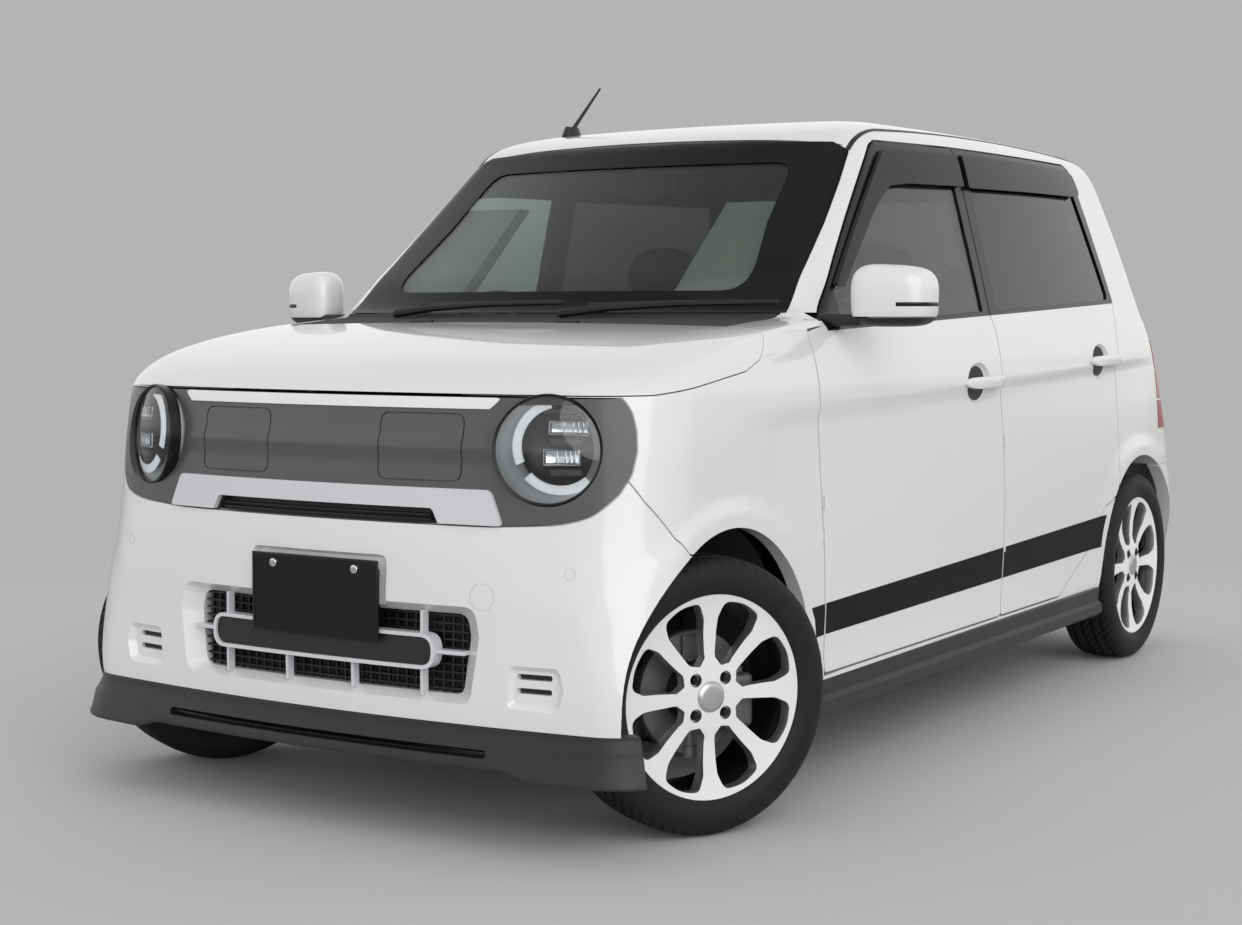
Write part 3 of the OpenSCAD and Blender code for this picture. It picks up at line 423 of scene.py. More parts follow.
def skin_normal(point):
    """Normal of the skin nearest to a point, blended over the nearest quad."""
    tree, flat, quads, normals = SKIN
    hit = tree.find_nearest(point)
    if hit[2] is None:
        return None
    q = quads[hit[2]]
    w = 1 / (np.linalg.norm(flat[q] - np.array(hit[0]), axis=1) + 1e-5) ** 2
    v = (normals[q] * w[:, None]).sum(axis=0)
    return Vector(v / np.linalg.norm(v))


def sheen_normals(obj, angle=28):
    """Smooth shading: faces that follow the skin take its normals, cut faces stay flat."""
    mesh = obj.data
    mesh.shade_smooth()
    near = [skin_normal(v.co) for v in mesh.vertices]
    limit = math.cos(math.radians(angle))
    loops = [None] * len(mesh.loops)
    for poly in mesh.polygons:
        for li in poly.loop_indices:
            n = near[mesh.loops[li].vertex_index]
            d = n.dot(poly.normal) if n else 0
            if d > limit:
                loops[li] = n
            elif d < -limit:
                loops[li] = -n
            else:
                loops[li] = poly.normal.copy()
    mesh.normals_split_custom_set(loops)


def dress(obj, name, material, body, slot, nodes=()):
    """Names a finished piece, gives it its finish and fixes it to its body."""
    obj.name = name
    obj.data.name = name
    obj.data.materials.clear()
    obj.data.materials.append(look(material))
    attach(obj, body)
    if nodes:
        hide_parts(*nodes)
    return obj


def socket(node, name, value):
    node.inputs[name].default_value = value


def add_node(tree, kind, **values):
    """A shader node with its input values; an underscore stands for a space."""
    node = tree.nodes.new("ShaderNode" + kind)
    for key, value in values.items():
        socket(node, key.replace("_", " "), value)
    return node


def link(source, output, target, entry):
    """Joins an output of one node to an input of another."""
    source.id_data.links.new(source.outputs[output], target.inputs[entry])


def finish(name, colour, rough, metal=0.0, coat=0.0, grain=400.0, depth=0.02, mottle=0.06, wear=0.08,
           **extra):
    """A surface finish: colour with fine mottling, uneven gloss and a fine grain, from noise."""
    mat = bpy.data.materials.new(name)
    mat.use_nodes = True
    tree = mat.node_tree
    shader = tree.nodes["Principled BSDF"]
    where = add_node(tree, "TexCoord")
    fine = add_node(tree, "TexNoise", Scale=grain, Detail=4.0)
    broad = add_node(tree, "TexNoise", Scale=6.0, Detail=3.0)
    for noise in (fine, broad):
        link(where, "Object", noise, "Vector")
    tint = add_node(tree, "Mix")
    tint.data_type = "RGBA"
    tint.inputs[6].default_value = (*[c * (1 - mottle) for c in colour], 1)
    tint.inputs[7].default_value = (*[min(1, c * (1 + mottle)) for c in colour], 1)
    link(fine, "Fac", tint, 0)
    link(tint, 2, shader, "Base Color")
    gloss = add_node(tree, "MapRange", To_Min=max(0.0, rough * (1 - wear)),
                     To_Max=min(1.0, rough * (1 + wear)))
    link(broad, "Fac", gloss, "Value")
    link(gloss, "Result", shader, "Roughness")
    bump = add_node(tree, "Bump", Strength=depth, Distance=0.002)
    link(fine, "Fac", bump, "Height")
    link(bump, "Normal", shader, "Normal")
    values = {"Metallic": metal, "Coat_Weight": coat, "Coat_Roughness": 0.03, **extra}
    for key, value in values.items():
        socket(shader, key.replace("_", " "), value)
    return mat


def clear(name, colour):
    """Tinted clear glass or lens."""
    return finish(name, colour, 0.0, mottle=0.01, depth=0.0, wear=0.0, Transmission_Weight=1.0, IOR=1.45)


def glowing(name, colour, strength):
    """A finish that gives off a little light."""
    return finish(name, colour, 0.3, Emission_Color=(*colour, 1), Emission_Strength=strength)


def woven(name, colour):
    """Seat cloth with a fine crossed weave and a little sheen."""
    mat = finish(name, colour, 0.9, grain=1500, depth=0.25, mottle=0.18, Sheen_Weight=0.3)
    tree = mat.node_tree
    cross = add_node(tree, "Math")
    cross.operation = "MULTIPLY"
    for entry, way in enumerate(("X", "Z")):
        wave = add_node(tree, "TexWave", Scale=160.0, Distortion=1.0)
        wave.bands_direction = way
        link(tree.nodes["Texture Coordinate"], "Object", wave, "Vector")
        link(wave, "Fac", cross, entry)
    link(cross, "Value", tree.nodes["Bump"], "Height")
    return mat


def make_finishes(paint):
    """All finishes of the car by plain name."""
    return {
        "paint": finish("pearl_paint", paint, 0.32, coat=1.0, grain=1200, depth=0.004, mottle=0.012,
                        wear=0.1),
        "gloss_black": finish("gloss_black", (0.006, 0.006, 0.0065), 0.24, depth=0.005,
                              Specular_IOR_Level=0.38),
        "satin_black": finish("satin_black", (0.009, 0.009, 0.0095), 0.45, grain=700, depth=0.05),
        "satin_grey": finish("satin_grey", (0.082, 0.081, 0.082), 0.34, grain=900, depth=0.03, coat=0.25),
        "moulded_grey": finish("moulded_grey", (0.015, 0.0148, 0.015), 0.45, grain=800, depth=0.08),
        "rubber": finish("tyre_rubber", (0.009, 0.009, 0.0093), 0.6, grain=500, depth=0.08,
                         Specular_IOR_Level=0.3),
        "alloy": finish("turned_alloy", (0.55, 0.555, 0.56), 0.32, metal=0.85, grain=900, depth=0.01,
                        mottle=0.03),
        "chrome": finish("bright_metal", (0.72, 0.73, 0.75), 0.16, metal=1.0, depth=0.005),
        "bright": finish("bright_silver", (0.86, 0.865, 0.87), 0.3, coat=0.4, grain=1500, depth=0.01),
        "silver": finish("pale_silver", (0.66, 0.665, 0.7), 0.34, coat=0.4, grain=1500, depth=0.01),
        "bowl": finish("lamp_bowl", (0.86, 0.865, 0.87), 0.35, coat=0.3, depth=0.004),
        "decal": finish("stripe_film", (0.006, 0.006, 0.0056), 0.5, grain=900, depth=0.01,
                        Specular_IOR_Level=0.12),
        "frit": finish("screen_border", (0.004, 0.004, 0.004), 0.2, grain=900, depth=0.0,
                       Specular_IOR_Level=0.16),
        "steel": finish("worn_steel", (0.16, 0.16, 0.165), 0.5, metal=0.7, grain=120, depth=0.1, mottle=0.2,
                        wear=0.25),
        "under": finish("underseal", (0.03, 0.03, 0.031), 0.8, grain=300, depth=0.3),
        "glass": clear("tinted_glass", (0.42, 0.47, 0.44)),
        "privacy": clear("dark_glass", (0.07, 0.075, 0.075)),
        "lens": clear("clear_lens", (0.95, 0.97, 0.98)),
        "red_lens": finish("red_lens", (0.33, 0.008, 0.01), 0.12, coat=1.0, grain=300, depth=0.02),
        "guide": glowing("light_guide", (0.9, 0.92, 0.94), 0.45),
        "smoke": finish("smoked_plastic", (0.011, 0.011, 0.0115), 0.2, depth=0.002, Specular_IOR_Level=0.22),
        "cloth": woven("seat_cloth", (0.16, 0.16, 0.15)),
        "dash": finish("grained_dash", (0.03, 0.03, 0.031), 0.6, grain=1000, depth=0.25),
        "mirror": finish("mirror_glass", (0.8, 0.82, 0.83), 0.02, metal=1.0, depth=0.0),
    }


def skin_at(start, way):
    """Point of the skin met by a ray in millimetres, or None."""
    hit = SKIN[0].ray_cast(Vector(start) * MM, Vector(way))
    return None if hit[0] is None else hit[0] / MM


def nose(y, z):
    """Front skin at a side step and a height."""
    return skin_at((3000, y, z), (-1, 0, 0)).x


def flank(x, z, s=1):
    """Side skin at a place along the car and a height."""
    return skin_at((x, s * 2000, z), (0, -s, 0)).y


def finer(outline, step=18.0):
    """Adds points to an outline so that no edge is longer than a step."""
    out = []
    for a, b in zip(outline, outline[1:] + outline[:1]):
        n = max(1, int(math.ceil(math.dist(a, b) / step)))
        out += [(a[0] + (b[0] - a[0]) * k / n, a[1] + (b[1] - a[1]) * k / n) for k in range(n)]
    return out


def loft(name, loops):
    """A closed solid through loops with the same number of points."""
    n = len(loops[0])
    pts = [p for loop in loops for p in loop]
    faces = [tuple(range(n)), tuple(range(len(pts) - 1, len(pts) - n - 1, -1))]
    for k in range(len(loops) - 1):
        a, b = k * n, (k + 1) * n
        faces += [(a + i, b + i, b + (i + 1) % n, a + (i + 1) % n) for i in range(n)]
    obj = new_mesh(name, pts, faces)
    outward(obj)
    return obj


def nose_block(name, outline, out, depth, inner=None, through=0.0):
    """A block that follows the front skin, standing out and going in by a depth.

    It may narrow to an inner outline at that depth, and go on from there by a length through.
    """
    outer = resample(outline, MATCHED) if inner else finer(outline)
    back = resample(inner, MATCHED) if inner else outer
    base = [nose(y, z) for y, z in outer]
    loops = [[(x + out, y, z) for x, (y, z) in zip(base, outer)]]
    if inner:
        loops.append([(x + 0.5, y, z) for x, (y, z) in zip(base, outer)])
    loops.append([(x - depth, y, z) for x, (y, z) in zip(base, back)])
    if through:
        loops.append([(x - through, y, z) for x, (y, z) in zip(base, back)])
    return loft(name, loops)


def nose_piece(outline, depth, out, holes=(), sheen=True):
    """A piece of the front skin within an outline, standing out and going in by a depth, with holes."""
    obj = cut_wall(front_block(outline), depth, out=out)
    for hole in holes:
        carve(obj, front_block(hole))
    if sheen:
        sheen_normals(obj)
    else:
        soft_edges(obj)
    return obj


def tail_piece(outline, depth, out):
    """A piece of the rear skin within an outline, standing out and going in by a depth."""
    obj = cut_wall(front_block(outline, -1800, -1100), depth, out=out)
    sheen_normals(obj)
    return obj


def nose_rail(name, low, high, z, height, out, depth, step=12.0):
    """A level bar along the front skin from one side step to another."""
    n = max(2, int((high - low) / step))
    h = height / 2
    loops = []
    for y in np.linspace(low, high, n):
        x = nose(y, z)
        loops.append([(x + out, y, z - h * 0.7), (x + out, y, z + h * 0.7), (x + out - h * 0.3, y, z + h),
                      (x - depth, y, z + h), (x - depth, y, z - h), (x + out - h * 0.3, y, z - h)])
    obj = loft(name, loops)
    soft_edges(obj)
    return obj


def nose_pill(name, width, height, z, out, depth):
    """A level bar with round ends across the middle of the front skin."""
    r = height / 2
    flat = width / 2 - r
    turn = np.radians(np.linspace(90, 4, 14))
    side = [(flat + r * math.cos(a), r * math.sin(a)) for a in turn]
    middle = [(y, r) for y in np.linspace(-flat, flat, 41)]
    stations = [(-y, h) for y, h in side[:0:-1]] + middle + side[1:]
    loops = []
    for y, h in stations:
        rows = [z + h * k for k in (-1, -0.5, 0, 0.5, 1)]
        face = [(nose(y, v) + out, y, v) for v in rows]
        loops.append(face + [(nose(y, z) - depth, y, v) for v in rows[::-1]])
    obj = loft(name, loops)
    soft_edges(obj)
    return obj


def resample(outline, n):
    """n points spread evenly along a closed outline, from its first point."""
    pts = np.array(list(outline) + [outline[0]], float)
    s = np.concatenate(([0], np.cumsum(np.linalg.norm(np.diff(pts, axis=0), axis=1))))
    q = np.linspace(0, s[-1], n, endpoint=False)
    return [(float(np.interp(v, s, pts[:, 0])), float(np.interp(v, s, pts[:, 1]))) for v in q]


def oblong(y, z, width, height, r, arc=8):
    """Rounded rectangle about a centre."""
    w, h = width / 2, height / 2
    return rounded(((y - w, z - h, r), (y + w, z - h, r), (y + w, z + h, r), (y - w, z + h, r)), arc=arc)


SHELLS = {}


def cut_wall(block, low, high=None, out=0.0, shaped=True):
    """What lies in a block of a body wall, each wall being made once; low also serves as high."""
    key = (low, low if high is None else high, out, shaped)
    if key not in SHELLS:
        SHELLS[key] = shell("wall", *key).data
        bpy.data.objects.remove(bpy.data.objects["wall"], do_unlink=True)
    return within(in_scene("piece", SHELLS[key].copy()), block)


def mirrored(obj):
    """The same piece on the other side of the car."""
    twin = copy_of(obj)
    bm = bmesh.new()
    bm.from_mesh(twin.data)
    for v in bm.verts:
        v.co.y = -v.co.y
    bmesh.ops.reverse_faces(bm, faces=bm.faces)
    bm.to_mesh(twin.data)
    bm.free()
    return twin


def pair(obj, name, material, body, slot, node=None, skin=True):
    """Dresses the left piece and its mirrored twin; {} in the names stands for the side."""
    for piece, (side, _) in zip((obj, mirrored(obj)), SIDES):
        if skin:
            sheen_normals(piece)
        nodes = (node.format(side),) if node else ()
        dress(piece, name.format(side), material, body.format(side), slot, nodes)


def soft_edges(obj, angle=35):
    """Smooth shading with edges sharper than an angle kept."""
    only(obj)
    bpy.ops.object.shade_smooth_by_angle(angle=math.radians(angle))


def bevelled(obj, width, segments=3, angle=35):
    """Rounds the sharp edges of a piece."""
    mod = obj.modifiers.new("bevel", "BEVEL")
    mod.width = width * MM
    mod.segments = segments
    mod.limit_method = "ANGLE"
    mod.angle_limit = math.radians(angle)
    apply(obj, mod)
    soft_edges(obj)
    return obj


def settle(obj):
    """Applies an object's place, turn and scale to its mesh."""
    only(obj)
    bpy.ops.object.transform_apply(location=True, rotation=True, scale=True)


def add_box(name, centre, size, bevel=0.0, segments=3, turn=(0, 0, 0)):
    """A box modelled from a cube, with rounded edges."""
    bpy.ops.mesh.primitive_cube_add(size=1, location=[c * MM for c in centre], rotation=turn)
    obj = bpy.context.object
    obj.name = name
    obj.scale = [s * MM for s in size]
    settle(obj)
    if bevel:
        bevelled(obj, bevel, segments)
    return obj


def add_round(name, centre, radius, depth, way="Z", bevel=0.0, sides=48):
    """A disc or rod modelled from a cylinder along an axis, with rounded rims."""
    angles = {"X": (0, math.pi / 2, 0), "Y": (math.pi / 2, 0, 0), "Z": (0, 0, 0)}[way]
    bpy.ops.mesh.primitive_cylinder_add(
        vertices=sides, radius=radius * MM, depth=depth * MM, location=[c * MM for c in centre],
        rotation=angles)
    obj = bpy.context.object
    obj.name = name
    settle(obj)
    if bevel:
        bevelled(obj, bevel)
    else:
        soft_edges(obj)
    return obj


def lathe(name, profile, steps=96, closed=True):
    """Turns a profile of radius and height about the Z axis."""
    mesh = bpy.data.meshes.new(name)
    n = len(profile)
    edges = [(i, (i + 1) % n) for i in range(n if closed else n - 1)]
    mesh.from_pydata([(r * MM, 0, h * MM) for r, h in profile], edges, [])
    obj = in_scene(name, mesh)
    mod = obj.modifiers.new("turn", "SCREW")
    mod.steps = mod.render_steps = steps
    mod.use_merge_vertices = True
    mod.merge_threshold = 1e-6
    apply(obj, mod)
    outward(obj)
    soft_edges(obj)
    return obj


def joined(objs, name):
    """Joins pieces of one finish into one object."""
    bpy.ops.object.select_all(action="DESELECT")
    for obj in objs:
        obj.select_set(True)
    bpy.context.view_layer.objects.active = objs[0]
    bpy.ops.object.join()
    objs[0].name = name
    return objs[0]


def placed(obj, matrix):
    """Moves a mesh by a matrix, its object staying at the origin."""
    obj.data.transform(matrix)
    obj.data.update()
    return obj


FINISH = {}


def look(name):
    """A finish by its plain name, all made on first use."""
    if not FINISH:
        FINISH.update(make_finishes(tuple(settings().paint)))
    return FINISH[name]


def settings():
    """The panel's values."""
    return bpy.context.scene.city_car


def belt_z(x):
    """Height where the painted door skin ends and the black frame begins."""
    return 1004 + (752 - x) * 0.0361


def belt_block():
    """All that lies below the belt line on the left side, rising at the foot of the windscreen pillar."""
    foot, back = 775, -1300
    outline = ((1000, 1100), (foot, 1100), (foot, belt_z(foot)), (back, belt_z(back)), (back, 100),
               (1000, 100))
    return side_block(outline, 300, 1000)


def arch_block(x, s=1, grow=0.0):
    """A cutter for the wheel opening round an axle on one side."""
    return side_block(circle(x, WHEEL_Z, ARCH_R + grow), s=s)


def open_arches(obj, grow=0.0):
    """Cuts both wheel openings of the left side."""
    for x in (AXLE_X, -AXLE_X):
        carve(obj, arch_block(x, grow=grow))


class CITYCAR_OT_body(bpy.types.Operator):
    """Fenders, body sides, roof, bonnet, tailgate and rear bumper as smooth pressed panels"""
    bl_idname = "city_car.body"
    bl_label = "Body Panels"

    def execute(self, context):
        fender = cut_wall(side_block(rounded(FENDER, HALF_GAP)), 24)
        open_arches(fender)
        carve(fender, across(BONNET, 2 * HALF_GAP))
        carve(fender, across(FACE, 3))
        carve(fender, across(BUMPER, 1.5))
        carve(fender, across(SCREEN, 3))
        carve(fender, box_block((600, -602, 930), (1056, 602, 1100)))
        pair(fender, "fender_{}", "paint", "body", "paint")
        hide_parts("fenders")

        side = cut_wall(side_block(rounded(SIDE)), 100, 54)
        open_arches(side)
        for opening in (FRONT_DOOR, REAR_DOOR):
            carve(side, side_block(rounded(opening, 3 * HALF_GAP)))
        carve(side, across(SCREEN, 3))
        carve(side, box_block((ROOF_REAR - 5, 0, 1300), (900, ROOF_Y - 4, 1700)))
        carve(side, rear_block(TAILGATE, 3 * HALF_GAP))
        carve(side, rear_block(TAIL_LAMP, 1.5, -1440))
        pair(side, "body_side_{}", "paint", "body", "paint")
        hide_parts("body_sides")

        top = box_block((ROOF_REAR, -ROOF_Y + 4, 1400), (900, ROOF_Y - 4, 1700))
        roof = cut_wall(top, 30)
        carve(roof, across(SCREEN, 3))
        sheen_normals(roof)
        dress(roof, "roof_panel", "paint", "body", "paint", ("roof",))

        bonnet = cut_wall(across(BONNET, HALF_GAP), 24)
        sheen_normals(bonnet)
        dress(bonnet, "bonnet_panel", "paint", "bonnet", "paint", ("bonnet",))

        tail = cut_wall(rear_block(TAILGATE, HALF_GAP), 90, 54)
        within(tail, box_block((-1800, -900, 100), (ROOF_REAR - 9, 900, 1700)))
        carve(tail, rear_block(TAIL_WINDOW))
        sheen_normals(tail)
        dress(tail, "tailgate_panel", "paint", "tailgate", "paint", ("tailgate",))

        rear = cut_wall(across(REAR_BUMPER), 30)
        carve(rear, rear_block(TAILGATE, 3 * HALF_GAP))
        for s in (1, -1):
            carve(rear, arch_block(-AXLE_X, s))
        sheen_normals(rear)
        dress(rear, "rear_bumper_skin", "paint", "body", "paint", ("rear_bumper",))

        lamp = cut_wall(rear_block(TAIL_LAMP, high=-1440), 45, out=1.5)
        for z in (776, 868):
            line = box_block((-1800, 500, z), (-1400, 900, z + 4))
            carve(lamp, cut_wall(line, 14, out=8))
        pair(lamp, "tail_lamp_{}", "red_lens", "body", "red_lamp")
        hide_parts("tail_lamps")
        return {"FINISHED"}


# Door handles: middle of the finger cup, and rear and front end of the pull bar
HANDLES = {"front": ((5, 868), -145, 99), "rear": ((-925, 905), -1086, -829)}
CUP_SIZE = (0.074, 0.026, 0.054)


def squared(v, power=0.6):
    """A sine or cosine pushed towards the corners of a rounded square."""
    return math.copysign(abs(v) ** power, v)


class CITYCAR_OT_doors(bpy.types.Operator):
    """Door skins below the belt line, black window frames above it, and the handles in their cups"""
    bl_idname = "city_car.doors"
    bl_label = "Doors"

    def execute(self, context):
        for end, outline, window in (("front", FRONT_DOOR, FRONT_WINDOW), ("rear", REAR_DOOR, REAR_WINDOW)):
            body = f"door_{end}_{{}}"
            whole = cut_wall(side_block(rounded(outline, HALF_GAP)), 60, 26)
            carve(whole, box_block((-1400, 0, 100), (1000, ROOF_Y + 8, 1700)))
            if end == "rear":
                carve(whole, arch_block(-AXLE_X))
            frame_part = copy_of(whole)
            carve(frame_part, belt_block())
            carve(frame_part, side_block(rounded(window)))
            within(whole, belt_block())
            self.handle(whole, body, *HANDLES[end])
            pair(whole, body + "_skin", "paint", body, "paint", body)
            pair(frame_part, body + "_frame", "gloss_black", body, "black_trim")
        return {"FINISHED"}

    def handle(self, door, body, cup, low, high):
        """Presses the finger cup into the door, paints its deep part black as shade and puts the pull bar
        over it.
        """
        y = flank(*cup)
        centre = (cup[0] * MM, (y + 4) * MM, cup[1] * MM)
        bpy.ops.mesh.primitive_uv_sphere_add(segments=64, ring_count=32, radius=1, location=centre)
        bowl = bpy.context.object
        bowl.scale = CUP_SIZE
        settle(bowl)
        # Painted shade: a black piece fills the deep part of the finger cup, where the recess falls dark.
        painted_cup_shade = copy_of(bowl)
        carve(door, bowl)
        within(painted_cup_shade, box_block((-1400, y - 60, 100), (1000, y - 12, 1700)))
        soft_edges(painted_cup_shade, 60)
        pair(painted_cup_shade, body + "_cup_painted_shade", "satin_black", body, "black_trim", skin=False)
        z = cup[1] + 2
        loops = []
        for t in np.linspace(0, 1, 25):
            x = low + (high - low) * t
            ends = 1 - abs(2 * t - 1) ** 8
            half = 15 * max(0.25, ends)
            lift = 30 - 14 * abs(2 * t - 1) ** 3
            base = flank(x, z) - 2
            inner = base + (16 if 0.16 < t < 0.84 else 0)
            top = base + max(inner - base + 6, lift * max(0.5, ends))
            mid, reach = (inner + top) / 2, (top - inner) / 2
            loops.append([(x, mid + reach * squared(math.sin(a)), z + half * squared(math.cos(a)))
                          for a in np.linspace(0, 2 * math.pi, 16, endpoint=False)])
        bar = loft("handle", loops)
        soft_edges(bar, 50)
        pair(bar, body + "_handle", "paint", body, "paint", skin=False)


# Front view outlines of the windscreen's dark border, and side view outlines of the rain visors
SCREEN_EDGE = both(((612, 1043, 0), (598, 1126, 0), (581, 1248, 0), (562, 1348, 0), (544, 1428, 20),
                    (500, 1450, 20), (300, 1457, 0)))
SCREEN_SIGHT = both(((505, 1092, 50), (455, 1250, 0), (432, 1400, 50)))
VISORS = (("front", ((676, 1104, 4), (300, 1414, 24), (276, 1432, 16), (-116, 1446, 6), (-118, 1364, 6),
                     (190, 1356, 20), (290, 1346, 40), (375, 1300, 40), (505, 1202, 0), (642, 1100, 4))),
          ("rear", ((-146, 1447, 6), (-930, 1452, 20), (-968, 1438, 20), (-990, 1390, 10), (-968, 1378, 10),
                    (-560, 1371, 0), (-148, 1362, 6))))


class CITYCAR_OT_glass(bpy.types.Operator):
    """Windows with their dark borders, rain visors over the side windows and the roof mouldings"""
    bl_idname = "city_car.glass"
    bl_label = "Glass and Mouldings"

    def pane(self, name, cutter, material, body, node, low=9.0, out=-4.0):
        """A window pane cut from a thin wall just under the skin."""
        pane = cut_wall(cutter, low, out=out, shaped=False)
        sheen_normals(pane)
        dress(pane, name, material, body, "glass", (node,))

    def execute(self, context):
        for side, s in SIDES:
            for end, window, material in (("front", FRONT_WINDOW, "glass"), ("rear", REAR_WINDOW, "privacy")):
                cutter = side_block(rounded(window, 5), s=s)
                self.pane(f"{end}_window_{side}", cutter, material, f"door_{end}_{side}",
                          f"glass_{end}_{side}")
        self.pane("windscreen_pane", across(SCREEN), "glass", "body", "windscreen", 7, -1)
        self.pane("tail_window_pane", rear_block(TAIL_WINDOW, 5), "privacy", "tailgate", "tailgate_glass")

        border = cut_wall(front_block(rounded(SCREEN_EDGE), 200, 1400), 1.2, out=0.8, shaped=False)
        carve(border, front_block(rounded(SCREEN_SIGHT), 200, 1400))
        sheen_normals(border)
        dress(border, "windscreen_border", "frit", "body", "black_trim")
        for end, outline in VISORS:
            visor = cut_wall(side_block(rounded(outline)), -3, out=11, shaped=False)
            pair(visor, f"door_{end}_{{}}_visor", "smoke", f"door_{end}_{{}}", "black_trim")

        line = box_block((ROOF_REAR + 4, ROOF_Y - 5, 1400), (366, ROOF_Y + 5, 1700))
        strip = cut_wall(line, 8, out=0.8, shaped=False)
        pair(strip, "roof_moulding_{}", "satin_black", "body", "black_trim")
        return {"FINISHED"}


class CITYCAR_OT_face(bpy.types.Operator):
    """Dark front panel with its seamed squares, the pale strip above and the slotted garnish below"""
    bl_idname = "city_car.face"
    bl_label = "Front Panel"

    def execute(self, context):
        panel = cut_wall(across(FACE), 30)
        for s in (1, -1):
            carve(panel, lamp_bore(s, settings().lamp_width / MM / 2 + 2, 90))
            seam = nose_block("seam", oblong(s * 240.5, 781.5, 195, 133, 22), 12, 3.5)
            carve(seam, nose_block("core", oblong(s * 240.5, 781.5, 189, 127, 19), 14, 6))
            carve(panel, seam)
        slot = rounded(both(((302, 633, 8), (279, 664, 8))))
        carve(panel, front_block(slot))
        sheen_normals(panel)
        dress(panel, "front_panel", "satin_grey", "body", "dark_grey", ("grille_panel",))

        bar = rounded(both(((390, 857, 8), (415, 879, 6))))
        strip = nose_piece(bar, 6, 2.5)
        dress(strip, "front_strip", "bright", "body", "lamp")
        wing = rounded(both(((433, 635, 6), (405, 703, 18))))
        notch = rounded(both(((302, 620, 0), (279, 664, 12))))
        garnish = nose_piece(wing, 6, 6, (notch,))
        dress(garnish, "front_garnish", "silver", "body", "lamp")
        hollow = rounded(both(((304, 630, 8), (282, 667, 8))))
        throat = nose_piece(hollow, 30, -20)
        dress(throat, "intake_back", "satin_black", "body", "black_trim")
        vanes = [nose_rail("vane", -270, 270, z, 4, -5, 24) for z in (641, 650)]
        dress(joined(vanes, "vanes"), "intake_vanes", "satin_black", "body", "black_trim")
        return {"FINISHED"}


# Headlamps in millimetres: middle of the left one and its turn to the side, middle of its lens ring
# in the lamp's own frame, and radius of the clear dome
LAMP_AT, LAMP_TURN = (1592.0, 516.0, 782.0), math.radians(24)
LENS_MID = (24.0, 7.0)
DOME_R = 330


def lamp_matrix(s):
    """Lamp frame: X to the outer side, Y up, Z out along the beam."""
    beam = Vector((math.cos(LAMP_TURN), s * math.sin(LAMP_TURN), 0.06)).normalized()
    outer = Vector((-beam.y, beam.x, 0)).normalized() * s
    up = beam.cross(outer) if s > 0 else outer.cross(beam)
    m = Matrix((outer, up, beam)).transposed().to_4x4()
    m.translation = Vector((LAMP_AT[0], s * LAMP_AT[1], LAMP_AT[2])) * MM
    return m


def lamp_bore(s, radius, depth):
    """A round hole along the lamp's beam."""
    bore = lathe("bore", ((0, -depth), (radius, -depth), (radius, 60), (0, 60)), closed=False)
    placed(bore, lamp_matrix(s))
    outward(bore)
    return bore


